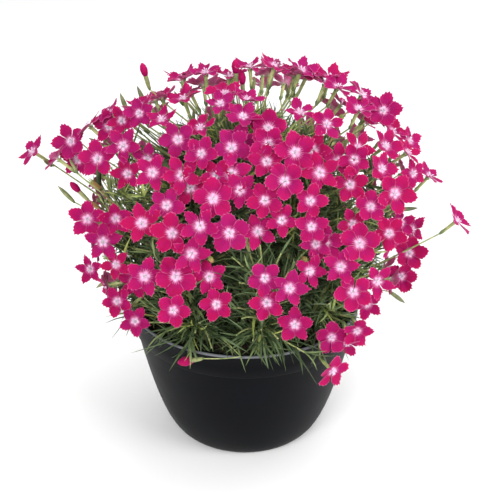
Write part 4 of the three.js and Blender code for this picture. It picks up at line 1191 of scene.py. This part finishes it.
def potProfile():
    build = potBuild
    top, rim = potSize["height"], potSize["rimRadius"]
    collarFoot = top - potSize["collarDepth"]
    base = [(0, 0), (build["underside"], 0), (potSize["baseRadius"] - build["baseIn"], 0)]
    wall = [(wallRadius(share), collarFoot * share) for share in build["wallShares"]]
    step = potSize["wallUnderCollar"] + potSize["collarStep"]
    collar = [(step - build["seamIn"], collarFoot + build["seamUp"]),
              (step, collarFoot + build["collarUp"]),
              (mix(step, rim, 0.5), collarFoot + build["collarBend"])]
    lip = [(rim - inward, top - down) for inward, down in build["lip"]]
    inside = [(rim - build["insideIn"], collarFoot + build["insideUp"])]
    inside += [(x - potSize["wall"], z + 0.4) for x, z in reversed(wall[3:])]
    floor = [(inside[-1][0] - build["floorIn"], potSize["floor"]), (0, potSize["floor"])]
    return base + wall + collar + lip + inside + floor


def turnedPoints(rows, sides):
    turn = np.arange(sides) / sides * tau
    height = np.broadcast_to(rows[:, 1:], (len(rows), sides))
    return np.stack([rows[:, :1] * np.cos(turn), rows[:, :1] * np.sin(turn), height], -1).reshape(-1, 3)


def makePot():
    rows = np.array(potProfile(), float)
    mesh = bpy.data.meshes.new("planter")
    points = turnedPoints(rows, potBuild["sides"]) / 1000
    mesh.from_pydata(points.tolist(), [], gridFaces(len(rows), potBuild["sides"], True).tolist())
    work = bmesh.new()
    work.from_mesh(mesh)
    bmesh.ops.remove_doubles(work, verts=work.verts, dist=1e-6)
    bmesh.ops.recalc_face_normals(work, faces=work.faces)
    work.to_mesh(mesh)
    work.free()
    piece = bpy.data.objects.new("planter", mesh)
    bpy.context.scene.collection.objects.link(piece)
    cutters = []
    for i in range(potSize["drainHoles"]):
        turn = (i + 0.5) / potSize["drainHoles"] * tau
        place = np.array([math.cos(turn), math.sin(turn), 0.05]) * potSize["drainCircle"] / 1000
        bpy.ops.mesh.primitive_cylinder_add(
            vertices=potBuild["holeSides"], radius=potSize["drainHole"] / 2000, depth=potBuild["holeCut"],
            location=place)
        cutters.append(bpy.context.object)
        cut = piece.modifiers.new("drain hole", "BOOLEAN")
        cut.object = cutters[-1]
        cut.solver = "EXACT"
    bpy.context.view_layer.update()
    finished = bpy.data.meshes.new_from_object(piece.evaluated_get(bpy.context.evaluated_depsgraph_get()))
    piece.modifiers.clear()
    piece.data = finished
    for cutter in cutters:
        bpy.data.objects.remove(cutter)
    finished.materials.clear()
    finished.materials.append(potFinish)
    finished.shade_smooth()
    finished.set_sharp_from_angle(angle=math.radians(potBuild["sharpAbove"]))
    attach(piece, "root")
    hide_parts("pot")


def makeSoil():
    build = soilBuild
    gap = potSize["wall"] + build["offWall"]
    floor = potSize["floor"] + build["offFloor"]
    collarFoot = potSize["height"] - potSize["collarDepth"]
    sides = build["sides"]
    side = [(wallRadius(share) - gap, collarFoot * share + build["sideUp"])
            for share in build["sideShares"]]
    edge = potSize["wallUnderCollar"] - gap - build["offCollar"]
    foot = [(side[0][0] - build["footIn"], floor)]
    body = turnedPoints(np.array(foot + side + [(edge, height) for height in build["upperSide"]]), sides)
    rings = np.linspace(edge - build["ringIn"], build["lastRing"], build["rings"])
    height = build["edge"] + build["dome"] * np.clip((edge - rings) / build["domeIn"], 0, 1)
    top = turnedPoints(np.stack([rings, height], -1), sides)
    top[:, 2] += [build["lump"] * spread(k, 71) for k in range(len(top))]
    points = np.concatenate([body, top, [[0, 0, soilSize["top"]], [0, 0, floor]]])
    count = (len(points) - 2) // sides
    k = np.arange(sides)
    after = (k + 1) % sides
    lastRow = (count - 1) * sides
    lid = np.stack([lastRow + k, lastRow + after, np.full(sides, count * sides)], -1)
    under = np.stack([after, k, np.full(sides, count * sides + 1)], -1)
    batch = newBatch()
    faces = [(0, gridFaces(count, sides, True)), (0, lid), (0, under)]
    addPart(batch, points, faces, np.zeros((len(points), 2)), 0.5)
    for n in range(crumb["count"]):  # crumbs of bark and perlite, sunk into the top
        out = edge * math.sqrt(draw(n, 81)) * crumb["within"]
        wide = drawn(crumb["length"], n, 82)
        nearEdge = clamp((out - edge + build["domeIn"]) / build["domeIn"], 0, 1)
        height = soilSize["top"] - crumb["sunk"] - crumb["slope"] * nearEdge
        centre = around(n * goldenTurn) * out + upright * height
        lie = unit(point(spread(n, 83), spread(n, 84), 0.3 * spread(n, 85))) * wide
        line = [centre - lie, centre - lie * 0.5, centre + lie * 0.5, centre + lie]
        shade = 1.0 if draw(n, 86) > crumb["perliteOver"] else 0.5
        addRod(batch, line, np.array(crumb["radii"]) * wide, 5, shade, 0)
    objectFrom("potting_mix", batch, [soilFinish], ["soil"])


makePot()
makeSoil()
print("pot and soil made")

# Floor, light and camera.
studio = {"floor": "#FAFAFA", "floorSize": 8.0, "floorRoughness": 0.9, "floorSpecular": 0.1,
          "sky": (1, 1, 1, 1), "skyStrength": 0.6}
softBoxes = {
    "key_softbox": {"place": (-0.55, -1.65, 1.3), "aim": (0, 0, 0.18), "size": 1.2, "power": 26.5},
    "fill_softbox": {"place": (1.5, -0.9, 0.9), "aim": (0, 0, 0.18), "size": 1.2, "power": 22.0},
    "top_softbox": {"place": (0.3, 0.6, 2.0), "aim": (0, 0.5, 0.1), "size": 2.4, "power": 24.0},
}
cameraLens = {"length": 72, "sensor": 36, "shift": 0.01}


def makeFloor():
    bpy.ops.mesh.primitive_plane_add(size=studio["floorSize"], location=(0, 0, 0))
    floor = bpy.context.object
    floor.name = "pale_floor"
    floor.data.materials.append(makeMaterial("matt_white_backdrop", lambda add: {
        "Base Color": srgb(studio["floor"]), "Roughness": studio["floorRoughness"],
        "Specular IOR Level": studio["floorSpecular"]}))


def aimAt(holder, way):
    holder.rotation_mode = "QUATERNION"
    holder.rotation_quaternion = Vector(way).to_track_quat("-Z", "Y")
    bpy.context.scene.collection.objects.link(holder)


def softBox(name, place, aim, size, power):
    lamp = bpy.data.lights.new(name, "AREA")
    lamp.shape = "DISK"
    lamp.size = size
    lamp.energy = power
    holder = bpy.data.objects.new(name, lamp)
    holder.location = place
    aimAt(holder, np.array(aim) - np.array(place))


def makeCamera():
    lens = bpy.data.cameras.new("camera")
    lens.lens = cameraLens["length"]
    lens.sensor_width = cameraLens["sensor"]
    lens.shift_x = cameraLens["shift"]
    camera = bpy.data.objects.new("camera", lens)
    camera.location = standPoint / 1000
    aimAt(camera, sight)
    bpy.context.scene.camera = camera


makeFloor()
makeCamera()
for name, box in softBoxes.items():
    softBox(name, **box)
world = bpy.data.worlds.new("soft_white_room")
world.use_nodes = True
world.node_tree.nodes["Background"].inputs["Color"].default_value = studio["sky"]
world.node_tree.nodes["Background"].inputs["Strength"].default_value = studio["skyStrength"]
bpy.context.scene.world = world
bpy.context.scene.view_settings.view_transform = "Standard"
print("studio made")
